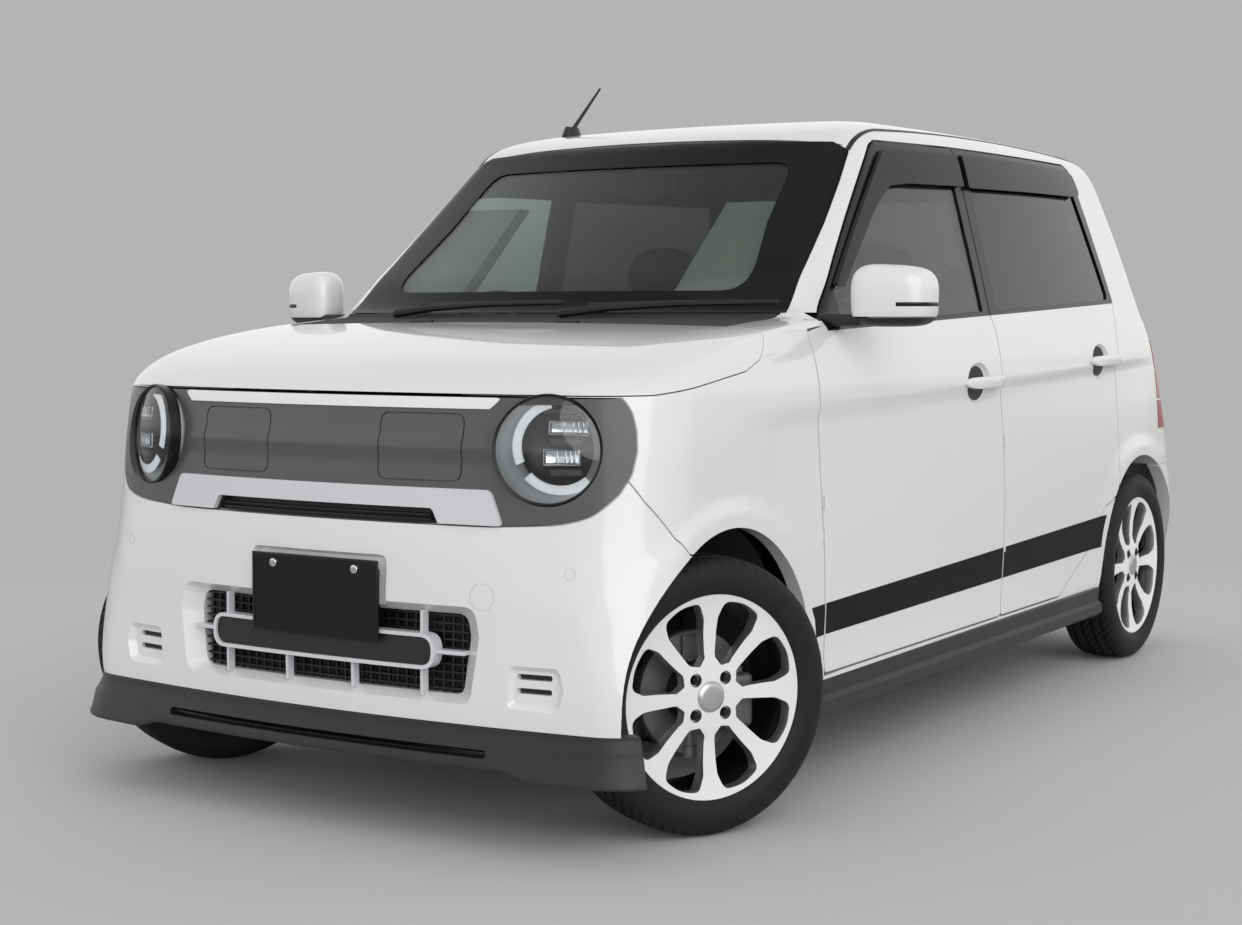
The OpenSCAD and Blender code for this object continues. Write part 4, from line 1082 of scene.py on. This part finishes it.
class CITYCAR_OT_lamps(bpy.types.Operator):
    """Round headlamps: bezel, bowl, light guide, two reflector blocks and a clear dome"""
    bl_idname = "city_car.lamps"
    bl_label = "Headlamps"

    def execute(self, context):
        r = settings().lamp_width / MM / 2
        for side, s in SIDES:
            bezel = lathe("bezel", ((r - 5, -20), (r, -20), (r + 1, 2), (r - 1, 5), (r - 4, 4),
                                    (r - 6, -4)), 128)
            bowl = lathe("bowl", ((0, -66), (40, -66), (62, -58), (82, -36), (r - 6, -8), (r - 6, -2),
                                  (r - 3, -2), (r - 3, -14), (86, -44), (64, -68), (40, -76), (0, -76)),
                         128, closed=False)
            guide = self.guide()
            dark = lathe("shade", ((0, -38), (66, -38), (73, -34), (76, -30), (76, -62), (0, -62)),
                         closed=False)
            placed(dark, Matrix.Translation(Vector((*LENS_MID, 0)) * MM))
            brow = prism("brow", [(x, y) for x, y in circle(0, 0, r - 4, 128) if y > 84] + [(-54, 84)],
                         lambda u, v, w: (u, v, w), -40, 1)
            blocks, fins = self.blocks()
            rim = math.asin((r - 5) / DOME_R)
            dome = [(math.sin(a) * DOME_R, math.cos(a) * DOME_R - DOME_R * math.cos(rim))
                    for a in np.linspace(rim, 0, 14)]
            inner = [(x * 0.985, z - 3) for x, z in dome[::-1]]
            lens = lathe("lens", [(max(0, x), z + 1) for x, z in dome + inner], closed=False)
            pieces = (("bezel", bezel, "gloss_black", "black_trim"), ("bowl", bowl, "bowl", "lamp"),
                      ("guide", guide, "guide", "lamp"), ("shade", dark, "gloss_black", "black_trim"),
                      ("reflectors", blocks, "chrome", "lamp"), ("fins", fins, "satin_grey", "dark_grey"),
                      ("brow", brow, "satin_grey", "dark_grey"), ("lens", lens, "lens", "glass"))
            for what, obj, material, slot in pieces:
                placed(obj, lamp_matrix(s))
                outward(obj)
                dress(obj, f"headlamp_{side}_{what}", material, "body", slot)
        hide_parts("headlamps")
        return {"FINISHED"}

    def guide(self):
        """The bright tube round the inner side of the dark shade, in two arcs."""
        parts = []
        for start, end in ((104, 203), (222, 309)):
            loops = []
            for a in np.radians(np.linspace(start, end, 40)):
                spoke = Vector((math.cos(a), math.sin(a), 0))
                mid = Vector((*LENS_MID, -14)) + spoke * 81
                loops.append([tuple(mid + spoke * 9 * math.cos(b) + Vector((0, 0, 7 * math.sin(b))))
                              for b in np.linspace(0, 2 * math.pi, 14, endpoint=False)])
            parts.append(loft("guide", loops))
        obj = joined(parts, "guide")
        soft_edges(obj, 60)
        return obj

    def blocks(self):
        """Two reflector cups with upright fins, and the level bars between them."""
        cups = []
        for x, y, w, h in ((38, 40, 76, 28), (25, -13, 70, 32)):
            cup = add_box("cup", (x, y, -30), (w, h, 22), 4)
            carve(cup, add_box("hole", (x, y, -18), (w - 7, h - 7, 22), 3))
            cups.append(cup)
            cups += [add_box("rib", (x + w * k, y, -28), (2.5, h - 6, 14), 0.6, 2)
                     for k in (-0.12, 0.1, 0.22, 0.34)]
        bars = [add_box("bar", (x, y, -30), (w, h, 24), 2.5)
                for x, y, w, h in ((38, 70, 92, 7), (46, 61, 54, 5), (33, 14, 60, 12), (33, -40, 58, 12))]
        cups, bars = joined(cups, "cups"), joined(bars, "bars")
        soft_edges(cups)
        soft_edges(bars)
        return cups, bars


# Front view outlines of the lower opening and of the left slotted pocket: at the skin, then at their depth
MOUTH = both(((372, 287, 26), (392, 420, 30), (380, 477, 30)))
THROAT = both(((338, 300, 20), (353, 415, 24), (345, 458, 24)))
FOG_EDGE = ((452, 287, 12), (562, 285, 16), (574, 330, 16), (563, 371, 16), (458, 371, 14))
FOG_FLOOR = ((460, 298, 10), (551, 297, 12), (560, 330, 12), (551, 361, 12), (465, 361, 10))
FOG_Y, FOG_SLOTS = 504, (322, 349)
BAR_Z, LIP_SLOT_Z, LIP_SLOT_LENGTH = 383.5, 197, 830


class CITYCAR_OT_bumper(bpy.types.Operator):
    """Front bumper with its pockets, lower grille, blank number plate and front lip"""
    bl_idname = "city_car.bumper"
    bl_label = "Front Bumper"

    def execute(self, context):
        skin = cut_wall(across(BUMPER, -1.5), 55)
        carve(skin, across(FACE, 3))
        for s in (1, -1):
            carve(skin, arch_block(AXLE_X, s))
        carve(skin, nose_block("pocket", oblong(0, 470, 352, 194, 18), 20, 12, oblong(0, 472, 336, 176, 14)))
        throat = rounded(THROAT)
        carve(skin, nose_block("mouth", rounded(MOUTH), 80, 26, throat, 200))
        dark = []
        for s in (1, -1):
            edge, floor_line = (rounded([(s * y, z, r) for y, z, r in line])
                                for line in (FOG_EDGE, FOG_FLOOR))
            carve(skin, nose_block("fog", edge, 20, 12, floor_line))
            for z in FOG_SLOTS:
                carve(skin, nose_block("slot", oblong(s * FOG_Y, z, 74, 11, 5), 20, 40))
                dark.append(nose_block("back", oblong(s * FOG_Y, z, 80, 16, 6), -24, 34))
            carve(skin, self.ring(s * 575, 550, 11.5, 1.6))
        carve(skin, self.ring(394, 497, 27, 1.6))
        sheen_normals(skin)
        dress(skin, "front_bumper_skin", "paint", "body", "paint", ("front_bumper",))
        dress(joined(dark, "backs"), "fog_slot_backs", "satin_black", "body", "black_trim")
        self.grille(throat)
        self.plate()
        self.lip()
        return {"FINISHED"}

    def ring(self, y, z, r, width):
        """A fine round groove in the bumper skin."""
        groove = nose_block("groove", circle(y, z, r, 48), 8, 1.6)
        return carve(groove, nose_block("core", circle(y, z, r - width, 48), 10, 4))

    def grille(self, throat):
        """Dark mesh, bright bars and the framed rounded bar in the lower opening."""
        back = nose_piece(throat, 62, -52)
        dress(back, "grille_back", "satin_black", "body", "black_trim", ("lower_grille",))
        mesh = [nose_rail("rib", -345, 345, z, 4, -34, 44) for z in np.arange(309, 455, 16)]
        mesh += [nose_block("rib", oblong(y, 379, 4, 156, 1.6, 2), -37, 44) for y in np.arange(-330, 331, 22)]
        dress(joined(mesh, "mesh"), "grille_mesh", "satin_black", "body", "black_trim")
        bars = [nose_block("bar", oblong(y, 379, 6, 168, 2, 3), -8, 26) for y in (-255, -86, 86, 255)]
        bars += [nose_rail("bar", low, high, 384, 8, -6, 28) for low, high in ((286, 352), (-352, -286))]
        hole = oblong(0, BAR_Z, 565, 56, 26, 10)
        bars.append(nose_piece(oblong(0, BAR_Z, 580, 71, 33, 10), 26, 0.5, (hole,), False))
        dress(joined(bars, "bars"), "grille_bars", "silver", "body", "lamp")
        fill = nose_pill("fill", 567, 58, BAR_Z, -5, 24)
        dress(fill, "grille_bar_fill", "moulded_grey", "body", "dark_grey")

    def plate(self):
        """Blank number plate with a raised rim and two bolts."""
        x = 1669.5
        plate = add_box("plate", (x, 0, 475), (3, 330, 162), 1.2, 2)
        carve(plate, front_block(oblong(0, 475, 318, 150, 8), x + 0.6, x + 5))
        base = add_box("base", (x - 14, 0, 476), (26, 300, 120), 4)
        dress(joined([plate, base], "plate"), "number_plate", "gloss_black", "body", "black_trim")
        bolts = [add_round("bolt", (x + 2, s * 106, 536), 9, 7, "X", 2.2, 32) for s in (1, -1)]
        dress(joined(bolts, "bolts"), "plate_bolts", "chrome", "body", "steel")

    def lip(self):
        """Lower lip that follows the bumper's foot, flaring at its corners, with a long slot."""
        row = ROWS[np.argmin(np.abs(ROWS[:, 0] - 235))]
        half = half_ring(row, 0)
        keep = half[half[:, 0] > 1560]
        path = np.vstack([keep[::-1] * (1, -1), keep[1:]])
        step = np.concatenate(([0], np.cumsum(np.linalg.norm(np.diff(path, axis=0), axis=1))))
        at = np.linspace(0, step[-1], 121)
        path = np.column_stack([np.interp(at, step, path[:, k]) for k in (0, 1)])
        tangent = np.gradient(path, axis=0)
        normal = np.column_stack([tangent[:, 1], -tangent[:, 0]])
        normal /= np.linalg.norm(normal, axis=1)[:, None]
        loops = []
        for (x, y), (nx, ny) in zip(path, normal):
            flare = float(blend_step(abs(y), 440, 520))
            out = 26 + 8 * flare
            low = 168 - 15 * flare
            drawn = ((-30, 247), (1, 247), (4, 243), (5, 233), (out * 0.45, 214), (out * 0.62, 206),
                     (out * 0.9, low + 14), (out, low + 8), (out, low + 2), (out - 3, low),
                     (out - 50, low + 2), (-60, 200))
            loops.append([(x + nx * o, y + ny * o, z) for o, z in drawn])
        lip = loft("lip", loops)
        carve(lip, self.lip_band("slot", path, 16, 7, 8, 60, -2))
        soft_edges(lip, 30)
        dress(lip, "front_lip_skin", "moulded_grey", "body", "dark_grey", ("front_lip",))
        rail = self.lip_band("rail", path, 4, 1.8, 2, 8, -4)
        dress(rail, "front_lip_rail", "moulded_grey", "body", "dark_grey")

    def lip_band(self, name, path, height, r, arc, front, back):
        """A long level bar on the lip's path, from a distance before it to one behind."""
        outline = finer(oblong(0, LIP_SLOT_Z, LIP_SLOT_LENGTH, height, r, arc))
        base = [np.interp(y, path[:, 1], path[:, 0]) for y, z in outline]
        return loft(name, [[(x + o, y, z) for x, (y, z) in zip(base, outline)] for o in (front, back)])


# Side stripe: body, front and rear end, and name of each length
STRIPES = (("body", 930, 856, "fender_stripe_{}"), ("door_front_{}", 848, -156, "door_front_{}_stripe"),
           ("door_rear_{}", -164, -960, "door_rear_{}_stripe"))
# Door mirror: corners of the shell, and of the dark line in its cap, a flush strip painted black as the shade
# of a slit
MIRROR = (Vector((668, 738, 1012)), Vector((782, 904, 1152)))
MIRROR_SLIT_SHADE = ((650, 846, 1056), (790, 910, 1065))


def stripe_z(x):
    """Lower and upper edge of the side stripe."""
    return 349 + (895 - x) * (22 / 1821), 415 + (924 - x) * (46 / 1881)


class CITYCAR_OT_trim(bpy.types.Operator):
    """Side stripes, door mirrors, skirts, wipers and antenna"""
    bl_idname = "city_car.trim"
    bl_label = "Outer Trim"

    def execute(self, context):
        self.stripes()
        self.mirrors()
        finish_node("side_skirts", "moulded_grey")
        finish_node("wipers", "satin_black")
        finish_node("antenna", "satin_black")
        return {"FINISHED"}

    def stripes(self):
        """The dark band along the lower doors, split where the panels meet."""
        for body, x0, x1, name in STRIPES:
            band = [(x, z) for x, rise in ((x0, 1), (x1, -1)) for z in stripe_z(x)[::rise]]
            strip = cut_wall(side_block(band), 1.5, out=0.8)
            open_arches(strip, 30)
            pair(strip, name, "decal", body, "black_trim")

    def mirrors(self):
        """A painted cap, with a black line painted in as a slit's shade, over a black shell on a short foot,
        with the glass at its back.
        """
        bpy.ops.mesh.primitive_cube_add(size=2, location=(0, 0, 0))
        shell_obj = bpy.context.object
        mod = shell_obj.modifiers.new("round", "SUBSURF")
        mod.levels = mod.render_levels = 5
        apply(shell_obj, mod)
        mid, half = (MIRROR[0] + MIRROR[1]) / 2, (MIRROR[1] - MIRROR[0]) / 2
        for v in shell_obj.data.vertices:
            d = v.co.normalized()
            p = [squared(c, e) for c, e in zip(d, (0.6, 0.52, 0.66 if d.z > 0 else 0.4))]
            x = p[0] if p[0] > 0 else max(p[0], -0.7)
            out = (p[1] + 1) / 2
            v.co = Vector((mid.x + half.x * x - 46 * out, mid.y + half.y * p[1],
                           mid.z + half.z * p[2] * (1 - 0.14 * out * (p[2] > 0)))) * MM
        black = copy_of(shell_obj)
        within(shell_obj, box_block((500, 600, 1034), (900, 1000, 1200)))
        within(black, box_block((500, 600, 1000), (900, 1000, 1031)))
        soft_edges(shell_obj, 40)
        soft_edges(black, 40)
        # Painted shade: a flush black strip across the cap stands for the shade in a slit.
        strip = within(copy_of(shell_obj), box_block(*MIRROR_SLIT_SHADE))
        cap = carve(shell_obj, box_block(*MIRROR_SLIT_SHADE))
        pair(cap, "mirror_{}_cap", "paint", "door_front_{}", "paint", "mirror_{}", skin=False)
        pair(strip, "mirror_{}_strip", "gloss_black", "door_front_{}", "black_trim", skin=False)
        foot = add_box("foot", (730, 712, 1026), (64, 96, 26), 9)
        base = joined([black, foot], "base")
        soft_edges(base, 40)
        pair(base, "mirror_{}_base", "satin_black", "door_front_{}", "black_trim", skin=False)
        glass = add_box("pane", (663, 818, 1084), (3, 126, 84), 1.2, 3, (0, 0, math.radians(15)))
        pair(glass, "mirror_{}_glass", "mirror", "door_front_{}", "glass", skin=False)


class CITYCAR_OT_rear(bpy.types.Operator):
    """Rear wiper, tailgate handle, high stop lamp and bumper reflectors"""
    bl_idname = "city_car.rear"
    bl_label = "Rear Details"

    def execute(self, context):
        hub = tail_piece(circle(0, 1056, 19, 32), 14, 9)
        arm = tail_piece(((-5, 1056), (140, 1112), (144, 1102), (5, 1048)), 14, 9)
        blade = tail_piece(((-60, 1122), (340, 1106), (340, 1096), (-60, 1112)), 14, 9)
        dress(joined([hub, arm, blade], "wiper"), "rear_wiper", "satin_black", "tailgate", "black_trim")
        handle = tail_piece(oblong(0, 842, 300, 36, 16), 14, 9)
        dress(handle, "tailgate_handle", "gloss_black", "tailgate", "black_trim")
        stop = tail_piece(oblong(0, 1430, 240, 16, 7), 8, 2.5)
        dress(stop, "stop_lamp", "red_lens", "tailgate", "red_lamp")
        reflector = tail_piece(oblong(480, 372, 120, 26, 12), 8, 2.5)
        pair(reflector, "rear_reflector_{}", "red_lens", "body", "red_lamp")
        return {"FINISHED"}


# Wheel in millimetres, radius and height along the axle: rim face, tyre wall and tread grooves;
# a pocket is drawn from the middle outwards, with the radius of each corner
SPOKES, NUT_RING = 8, 50
RIM_FACE = ((0, 60), (58, 60), (70, 58), (90, 54), (130, 55), (176, 62), (198, 68), (205, 71), (207, 69),
            (206, 62), (200, 44), (186, 34), (150, 30), (110, 30), (70, 34), (0, 34))
RIM_POCKET = ((0, 66, 6), (19, 77, 9), (28, 104, 18), (45, 152, 28), (44, 187, 18), (0, 198, 80),
              (-44, 187, 18), (-45, 152, 28), (-28, 104, 18), (-19, 77, 9))
TYRE_WALL = ((204, 62), (206, 72), (214, 78), (226, 81), (238, 82), (250, 80.5), (262, 76.5), (270, 71.5),
             (275.5, 65))
TYRE_R, TYRE_GROOVES = 281.0, (45, 16, -16, -45)


class CITYCAR_OT_wheels(bpy.types.Operator):
    """Eight-pocket alloy wheels with nuts and cap, and grooved tyres"""
    bl_idname = "city_car.wheels"
    bl_label = "Wheels and Tyres"

    def execute(self, context):
        rim = self.rim()
        tyre = self.tyre()
        for end in ("front", "rear"):
            for side, s in SIDES:
                body = f"wheel_{end}_{side}"
                place = self.place(end, s)
                for piece, what, slot in ((rim, "rim", "alloy"), (tyre, "tread", "tyre")):
                    obj = placed(copy_of(piece), place)
                    obj.name = obj.data.name = f"{body}_{what}"
                    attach(obj, body)
                    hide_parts(body if what == "rim" else f"tyre_{end}_{side}")
        for piece in (rim, tyre):
            bpy.data.objects.remove(piece, do_unlink=True)
        return {"FINISHED"}

    def place(self, end, s):
        """Matrix that sets a wheel, drawn about Z, on its axle with its face outside."""
        low, high = (Vector(c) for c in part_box(f"tyre_{end}_{'left' if s > 0 else 'right'}"))
        m = Matrix.Rotation(-s * math.pi / 2, 4, "X")
        if end == "front":
            axis = next(j["axis"] for j in frame["joints"] if j["child"].startswith("wheel_front"))
            m = Matrix.Rotation(-math.atan2(axis[0], axis[1]), 4, "Z") @ m
        m.translation = (low + high) / 2
        return m

    def rim(self):
        """Machined face with eight dark pockets, black barrel, domed nuts, plain cap and the brake behind."""
        face = lathe("face", RIM_FACE, 192, closed=False)
        drawn = rounded(RIM_POCKET, arc=5)
        for k in range(SPOKES):
            turn = 2 * math.pi * (k + 0.5) / SPOKES
            c, n = math.cos(turn), math.sin(turn)
            pocket = [(u * c - v * n, u * n + v * c) for u, v in drawn]
            carve(face, prism("pocket", pocket, lambda u, v, w: (u, v, w), 0, 90))
        turns = [math.pi / 4 + k * math.pi / 2 for k in range(4)]
        spots = [(NUT_RING * math.cos(a), NUT_RING * math.sin(a)) for a in turns]
        for x, y in spots:
            carve(face, add_round("bore", (x, y, 62), 13.5, 30, sides=40))
        bevelled(face, 1.8, 2, 40)
        face.data.materials.append(look("alloy"))
        face.data.materials.append(look("gloss_black"))
        for poly in face.data.polygons:
            poly.material_index = 0 if poly.normal.z > 0.62 else 1
        dark = [
            lathe("barrel", ((206, 66), (208, 62), (206, 40), (196, 20), (192, -60), (206, -68), (206, -72),
                             (188, -68), (184, 10), (194, 36)), 128),
            lathe("hub", ((0, 36), (62, 36), (66, 10), (66, -30), (0, -30)), 64, closed=False),
        ]
        for x, y in spots:
            nut = lathe("nut", ((0, 66), (5, 65), (8.5, 61), (9.5, 56), (9.5, 44), (0, 44)), 24, closed=False)
            dark.append(placed(nut, Matrix.Translation((x * MM, y * MM, 0))))
        for obj in dark:
            obj.data.materials.append(look("gloss_black"))
        disc = lathe("disc", ((60, -4), (124, -4), (126, -6), (126, -22), (60, -22)))
        caliper = add_box("caliper", (-104, 26, -10), (64, 112, 56), 12)
        for obj in (disc, caliper):
            obj.data.materials.append(look("steel"))
        cap = lathe("cap", ((0, 67), (20, 66.5), (28, 65), (31, 62), (31, 50), (0, 50)), 64, closed=False)
        cap.data.materials.append(look("alloy"))
        return joined([face, cap, disc, caliper] + dark, "rim")

    def tyre(self):
        """Tyre turned from its section, with four grooves and slanted cuts in the tread."""
        tread = []
        for h in np.arange(60, -61, -2.0):
            deep = 7.0 if any(abs(h - g) <= 3.2 for g in TYRE_GROOVES) else 0.0
            tread.append((TYRE_R - 5 * (abs(h) / 66) ** 4 - deep, h))
        wall_back = [(r, -h) for r, h in TYRE_WALL[::-1]]
        obj = lathe("tyre", [*TYRE_WALL, *tread, *wall_back, (200, -62), (198, 0), (200, 62)], 360)
        for v in obj.data.vertices:
            r = math.hypot(v.co.x, v.co.y) / MM
            h = v.co.z / MM
            if r < 262:
                continue
            a = math.degrees(math.atan2(v.co.y, v.co.x)) % 360
            slant = 0.22 * abs(h) if abs(h) > 18 else 0.3 * h
            phase = (a + slant) % 6
            if phase < 1.1 and abs(h) < 74:
                k = (r - 5.0) / r
                v.co.x *= k
                v.co.y *= k
        obj.data.update()
        soft_edges(obj, 25)
        obj.data.materials.append(look("rubber"))
        return obj


def finish_node(node, material):
    """Gives a CAD node that stays in view its finish."""
    obj = frame["nodes"][node]
    obj.data.materials.clear()
    obj.data.materials.append(look(material))


def cushion(name, low, high, bulge=(0.12, 0.12, 0.12), turn=0.0, pivot=None):
    """A padded form: a rounded, crowned block between two corners, leaning about the Y axis."""
    bpy.ops.mesh.primitive_cube_add(size=2, location=(0, 0, 0))
    obj = bpy.context.object
    obj.name = name
    only(obj)
    bpy.ops.object.mode_set(mode="EDIT")
    bpy.ops.mesh.select_all(action="SELECT")
    bpy.ops.mesh.subdivide(number_cuts=14)
    bpy.ops.object.mode_set(mode="OBJECT")
    low, high = Vector(low), Vector(high)
    mid, half = (low + high) / 2, (high - low) / 2
    lean = Matrix.Rotation(turn, 3, "Y")
    pivot = Vector(pivot) if pivot else mid
    for v in obj.data.vertices:
        c = v.co
        u = Vector((c.x, c.y, c.z))
        for a, b, d in ((0, 1, 2), (1, 2, 0), (2, 0, 1)):
            drop = [1 - math.cos(math.pi / 2 * c[k]) for k in (b, d)]
            u[a] = c[a] * (1 - bulge[a] * drop[0] - bulge[a] * drop[1])
        p = Vector((mid[k] + half[k] * u[k] for k in range(3)))
        v.co = (pivot + lean @ (p - pivot)) * MM
    mod = obj.modifiers.new("round", "SUBSURF")
    mod.levels = mod.render_levels = 1
    apply(obj, mod)
    soft_edges(obj, 60)
    return obj


class CITYCAR_OT_cabin(bpy.types.Operator):
    """Seats, dashboard, steering wheel and inner mirror"""
    bl_idname = "city_car.cabin"
    bl_label = "Cabin"

    def execute(self, context):
        first = True
        for side, s in SIDES:
            y = s * 330
            parts = {
                "cushion": cushion("c", (-70, y - 245, 470), (430, y + 245, 610), turn=-0.08),
                "back": cushion("b", (-130, y - 240, 560), (0, y + 240, 1090), turn=-0.32,
                                pivot=(-60, y, 560)),
                "headrest": cushion("h", (-275, y - 120, 1075), (-185, y + 120, 1225), (0.2, 0.25, 0.25)),
            }
            for what, obj in parts.items():
                dress(obj, f"front_seat_{side}_{what}", "cloth", "body", "fabric",
                      ("seats",) if first else ())
                first = False
        rear = {
            "cushion": cushion("c", (-830, -560, 400), (-420, 560, 560), turn=-0.05),
            "back": cushion("b", (-930, -455, 560), (-800, 455, 1060), turn=-0.24, pivot=(-860, 0, 560)),
        }
        for side, s in SIDES:
            rear[f"headrest_{side}"] = cushion(
                "h", (-1090, s * 270 - 110, 1060), (-1010, s * 270 + 110, 1190), (0.2, 0.25, 0.25))
        for what, obj in rear.items():
            dress(obj, f"rear_seat_{what}", "cloth", "body", "fabric")
        mirror = add_box("mirror", (425, 0, 1345), (26, 220, 58), 12)
        stem = add_round("stem", (432, 0, 1384), 9, 50, "Z", 2, 24)
        dress(joined([mirror, stem], "mirror"), "inner_mirror", "satin_black", "body", "black_trim")
        cover = add_box("cover", (398, 0, 1398), (90, 190, 36), 12, 3, (0, math.radians(40), 0))
        dress(cover, "screen_sensor_cover", "satin_black", "body", "black_trim")
        finish_node("dashboard", "dash")
        finish_node("steering_wheel", "dash")
        return {"FINISHED"}


class CITYCAR_OT_running_gear(bpy.types.Operator):
    """Finishes of the floor, housings, suspension, engine, knuckles, exhaust and hinges"""
    bl_idname = "city_car.running_gear"
    bl_label = "Running Gear"

    def execute(self, context):
        for node in ("floor_pan", "wheel_housings", "bulkhead"):
            finish_node(node, "under")
        for node in ("front_suspension", "rear_axle", "engine", "knuckle_left", "knuckle_right", "exhaust"):
            finish_node(node, "steel")
        finish_node("hinges", "paint")
        hinges = frame["nodes"]["hinges"]
        hinges.data.materials.append(look("satin_black"))
        for poly in hinges.data.polygons:
            centre = hinges.matrix_world @ poly.center
            poly.material_index = 1 if centre.x > 0.95 and abs(centre.y) < 0.6 else 0
        return {"FINISHED"}


# Studio: name, turn, strength and spread of each sun; sky brightness from nadir to zenith;
# distances in metres between which the floor fades out; and the camera's direction
SUNS = (("key", (66, 0, 144), 1.1, 1.0), ("top", (8, 0, 60), 0.1, 0.6))
SKY_MARKS = ((0.0, 0.3), (0.49, 0.35), (0.53, 0.97), (0.72, 0.9), (1.0, 0.36))
FLOOR_FADE = (2.0, 4.2)
CAMERA_WAY = (-0.8425, -0.53385, -0.07203)


class CITYCAR_OT_stage(bpy.types.Operator):
    """Plain floor, even studio light and the camera"""
    bl_idname = "city_car.stage"
    bl_label = "Studio"

    def execute(self, context):
        scene = context.scene
        bpy.ops.mesh.primitive_plane_add(size=120, location=(0, 0, 0))
        floor = context.object
        floor.name = "studio_floor"
        floor.data.materials.append(self.floor_finish())
        world = scene.world or bpy.data.worlds.new("studio")
        scene.world = world
        self.light_world(world)
        lights = [self.sun(*values) for values in SUNS]
        self.aim_camera(scene)
        scene.view_settings.view_transform = "Standard"
        return {"FINISHED"}

    def sun(self, name, turn, strength, spread):
        """A soft distant light, turned by degrees."""
        bpy.ops.object.light_add(type="SUN", rotation=[math.radians(v) for v in turn])
        lamp = bpy.context.object
        lamp.name = name
        lamp.data.energy = strength
        lamp.data.angle = spread
        return lamp

    def floor_finish(self):
        """Matt floor that melts into the backdrop away from the car."""
        mat = finish("studio_floor", tuple(settings().floor), 0.9, grain=40, depth=0.0, mottle=0.004,
                     Specular_IOR_Level=0.1)
        tree = mat.node_tree
        away = add_node(tree, "VectorMath")
        away.operation = "LENGTH"
        link(tree.nodes["Texture Coordinate"], "Object", away, 0)
        fade = add_node(tree, "MapRange", From_Min=FLOOR_FADE[0], From_Max=FLOOR_FADE[1])
        fade.interpolation_type = "SMOOTHSTEP"
        link(away, "Value", fade, "Value")
        mix = add_node(tree, "MixShader")
        link(fade, "Result", mix, 0)
        link(tree.nodes["Principled BSDF"], "BSDF", mix, 1)
        link(add_node(tree, "BsdfTransparent"), "BSDF", mix, 2)
        link(mix, "Shader", tree.nodes["Material Output"], "Surface")
        return mat

    def light_world(self, world):
        """Even sky light; the camera sees the backdrop's own grey."""
        world.use_nodes = True
        tree = world.node_tree
        tree.nodes.clear()
        split = add_node(tree, "SeparateXYZ")
        link(add_node(tree, "TexCoord"), "Generated", split, "Vector")
        shift = add_node(tree, "MapRange", From_Min=-1.0)
        link(split, "Z", shift, "Value")
        ramp = add_node(tree, "ValToRGB")
        link(shift, "Result", ramp, "Fac")
        band = ramp.color_ramp
        while len(band.elements) < len(SKY_MARKS):
            band.elements.new(0.5)
        for element, (at, value) in zip(band.elements, SKY_MARKS):
            element.position = at
            element.color = (value, value, value, 1)
        sky = add_node(tree, "Background", Strength=settings().sky)
        link(ramp, "Color", sky, "Color")
        backdrop = add_node(tree, "Background", Color=(*settings().backdrop, 1), Strength=1.0)
        mix = add_node(tree, "MixShader")
        link(add_node(tree, "LightPath"), "Is Camera Ray", mix, "Fac")
        link(sky, "Background", mix, 1)
        link(backdrop, "Background", mix, 2)
        link(mix, "Shader", add_node(tree, "OutputWorld"), "Surface")

    def aim_camera(self, scene):
        """Camera at the photograph's stand, aimed for its 1242 by 925 frame; the render size is not set here.
        """
        data = bpy.data.cameras.new("camera")
        camera = bpy.data.objects.new("camera", data)
        scene.collection.objects.link(camera)
        data.sensor_fit = "HORIZONTAL"
        data.sensor_width = 36.0
        data.lens = settings().lens
        data.clip_end = 200.0
        camera.location = settings().stand
        camera.rotation_euler = Vector(CAMERA_WAY).to_track_quat("-Z", "Y").to_euler()
        scene.camera = camera


class CityCarSettings(bpy.types.PropertyGroup):
    paint: bpy.props.FloatVectorProperty(
        name="Paint", description="Body colour", subtype="COLOR", default=(0.80, 0.80, 0.785), min=0, max=1)
    floor: bpy.props.FloatVectorProperty(
        name="Floor", description="Colour of the studio floor", subtype="COLOR",
        default=(0.605, 0.605, 0.605), min=0, max=1)
    backdrop: bpy.props.FloatVectorProperty(
        name="Backdrop", description="Colour behind the car", subtype="COLOR",
        default=(0.456, 0.456, 0.456), min=0, max=1)
    sky: bpy.props.FloatProperty(name="Sky", description="Strength of the even light", default=1.0, min=0)
    lamp_width: bpy.props.FloatProperty(
        name="Lamp width", description="Outer width of a headlamp", default=0.212, unit="LENGTH", min=0.1)
    lens: bpy.props.FloatProperty(
        name="Lens", description="Focal length in millimetres", default=59.26, min=10)
    stand: bpy.props.FloatVectorProperty(
        name="Camera stand", description="Place of the camera", subtype="TRANSLATION",
        default=(4.7847, 2.7037, 1.0378))


STEPS = (CITYCAR_OT_body, CITYCAR_OT_doors, CITYCAR_OT_glass, CITYCAR_OT_face, CITYCAR_OT_lamps,
         CITYCAR_OT_bumper, CITYCAR_OT_trim, CITYCAR_OT_rear, CITYCAR_OT_wheels, CITYCAR_OT_cabin,
         CITYCAR_OT_running_gear, CITYCAR_OT_stage)


class CITYCAR_PT_panel(bpy.types.Panel):
    """Lists the settings and the steps of the car"""
    bl_idname = "CITYCAR_PT_panel"
    bl_label = "City Car"
    bl_space_type = "VIEW_3D"
    bl_region_type = "UI"
    bl_category = "City Car"

    def draw(self, context):
        values = context.scene.city_car
        for name in values.__annotations__:
            self.layout.prop(values, name)
        for step in STEPS:
            self.layout.operator(step.bl_idname)


CLASSES = (CityCarSettings, *STEPS, CITYCAR_PT_panel)


def register():
    for cls in CLASSES:
        bpy.utils.register_class(cls)
    bpy.types.Scene.city_car = bpy.props.PointerProperty(type=CityCarSettings)


def unregister():
    del bpy.types.Scene.city_car
    for cls in reversed(CLASSES):
        bpy.utils.unregister_class(cls)


def main():
    """Runs every step in order."""
    register()
    for step in STEPS:
        group, name = step.bl_idname.split(".")
        getattr(getattr(bpy.ops, group), name)()


if __name__ == "__main__":
    main()
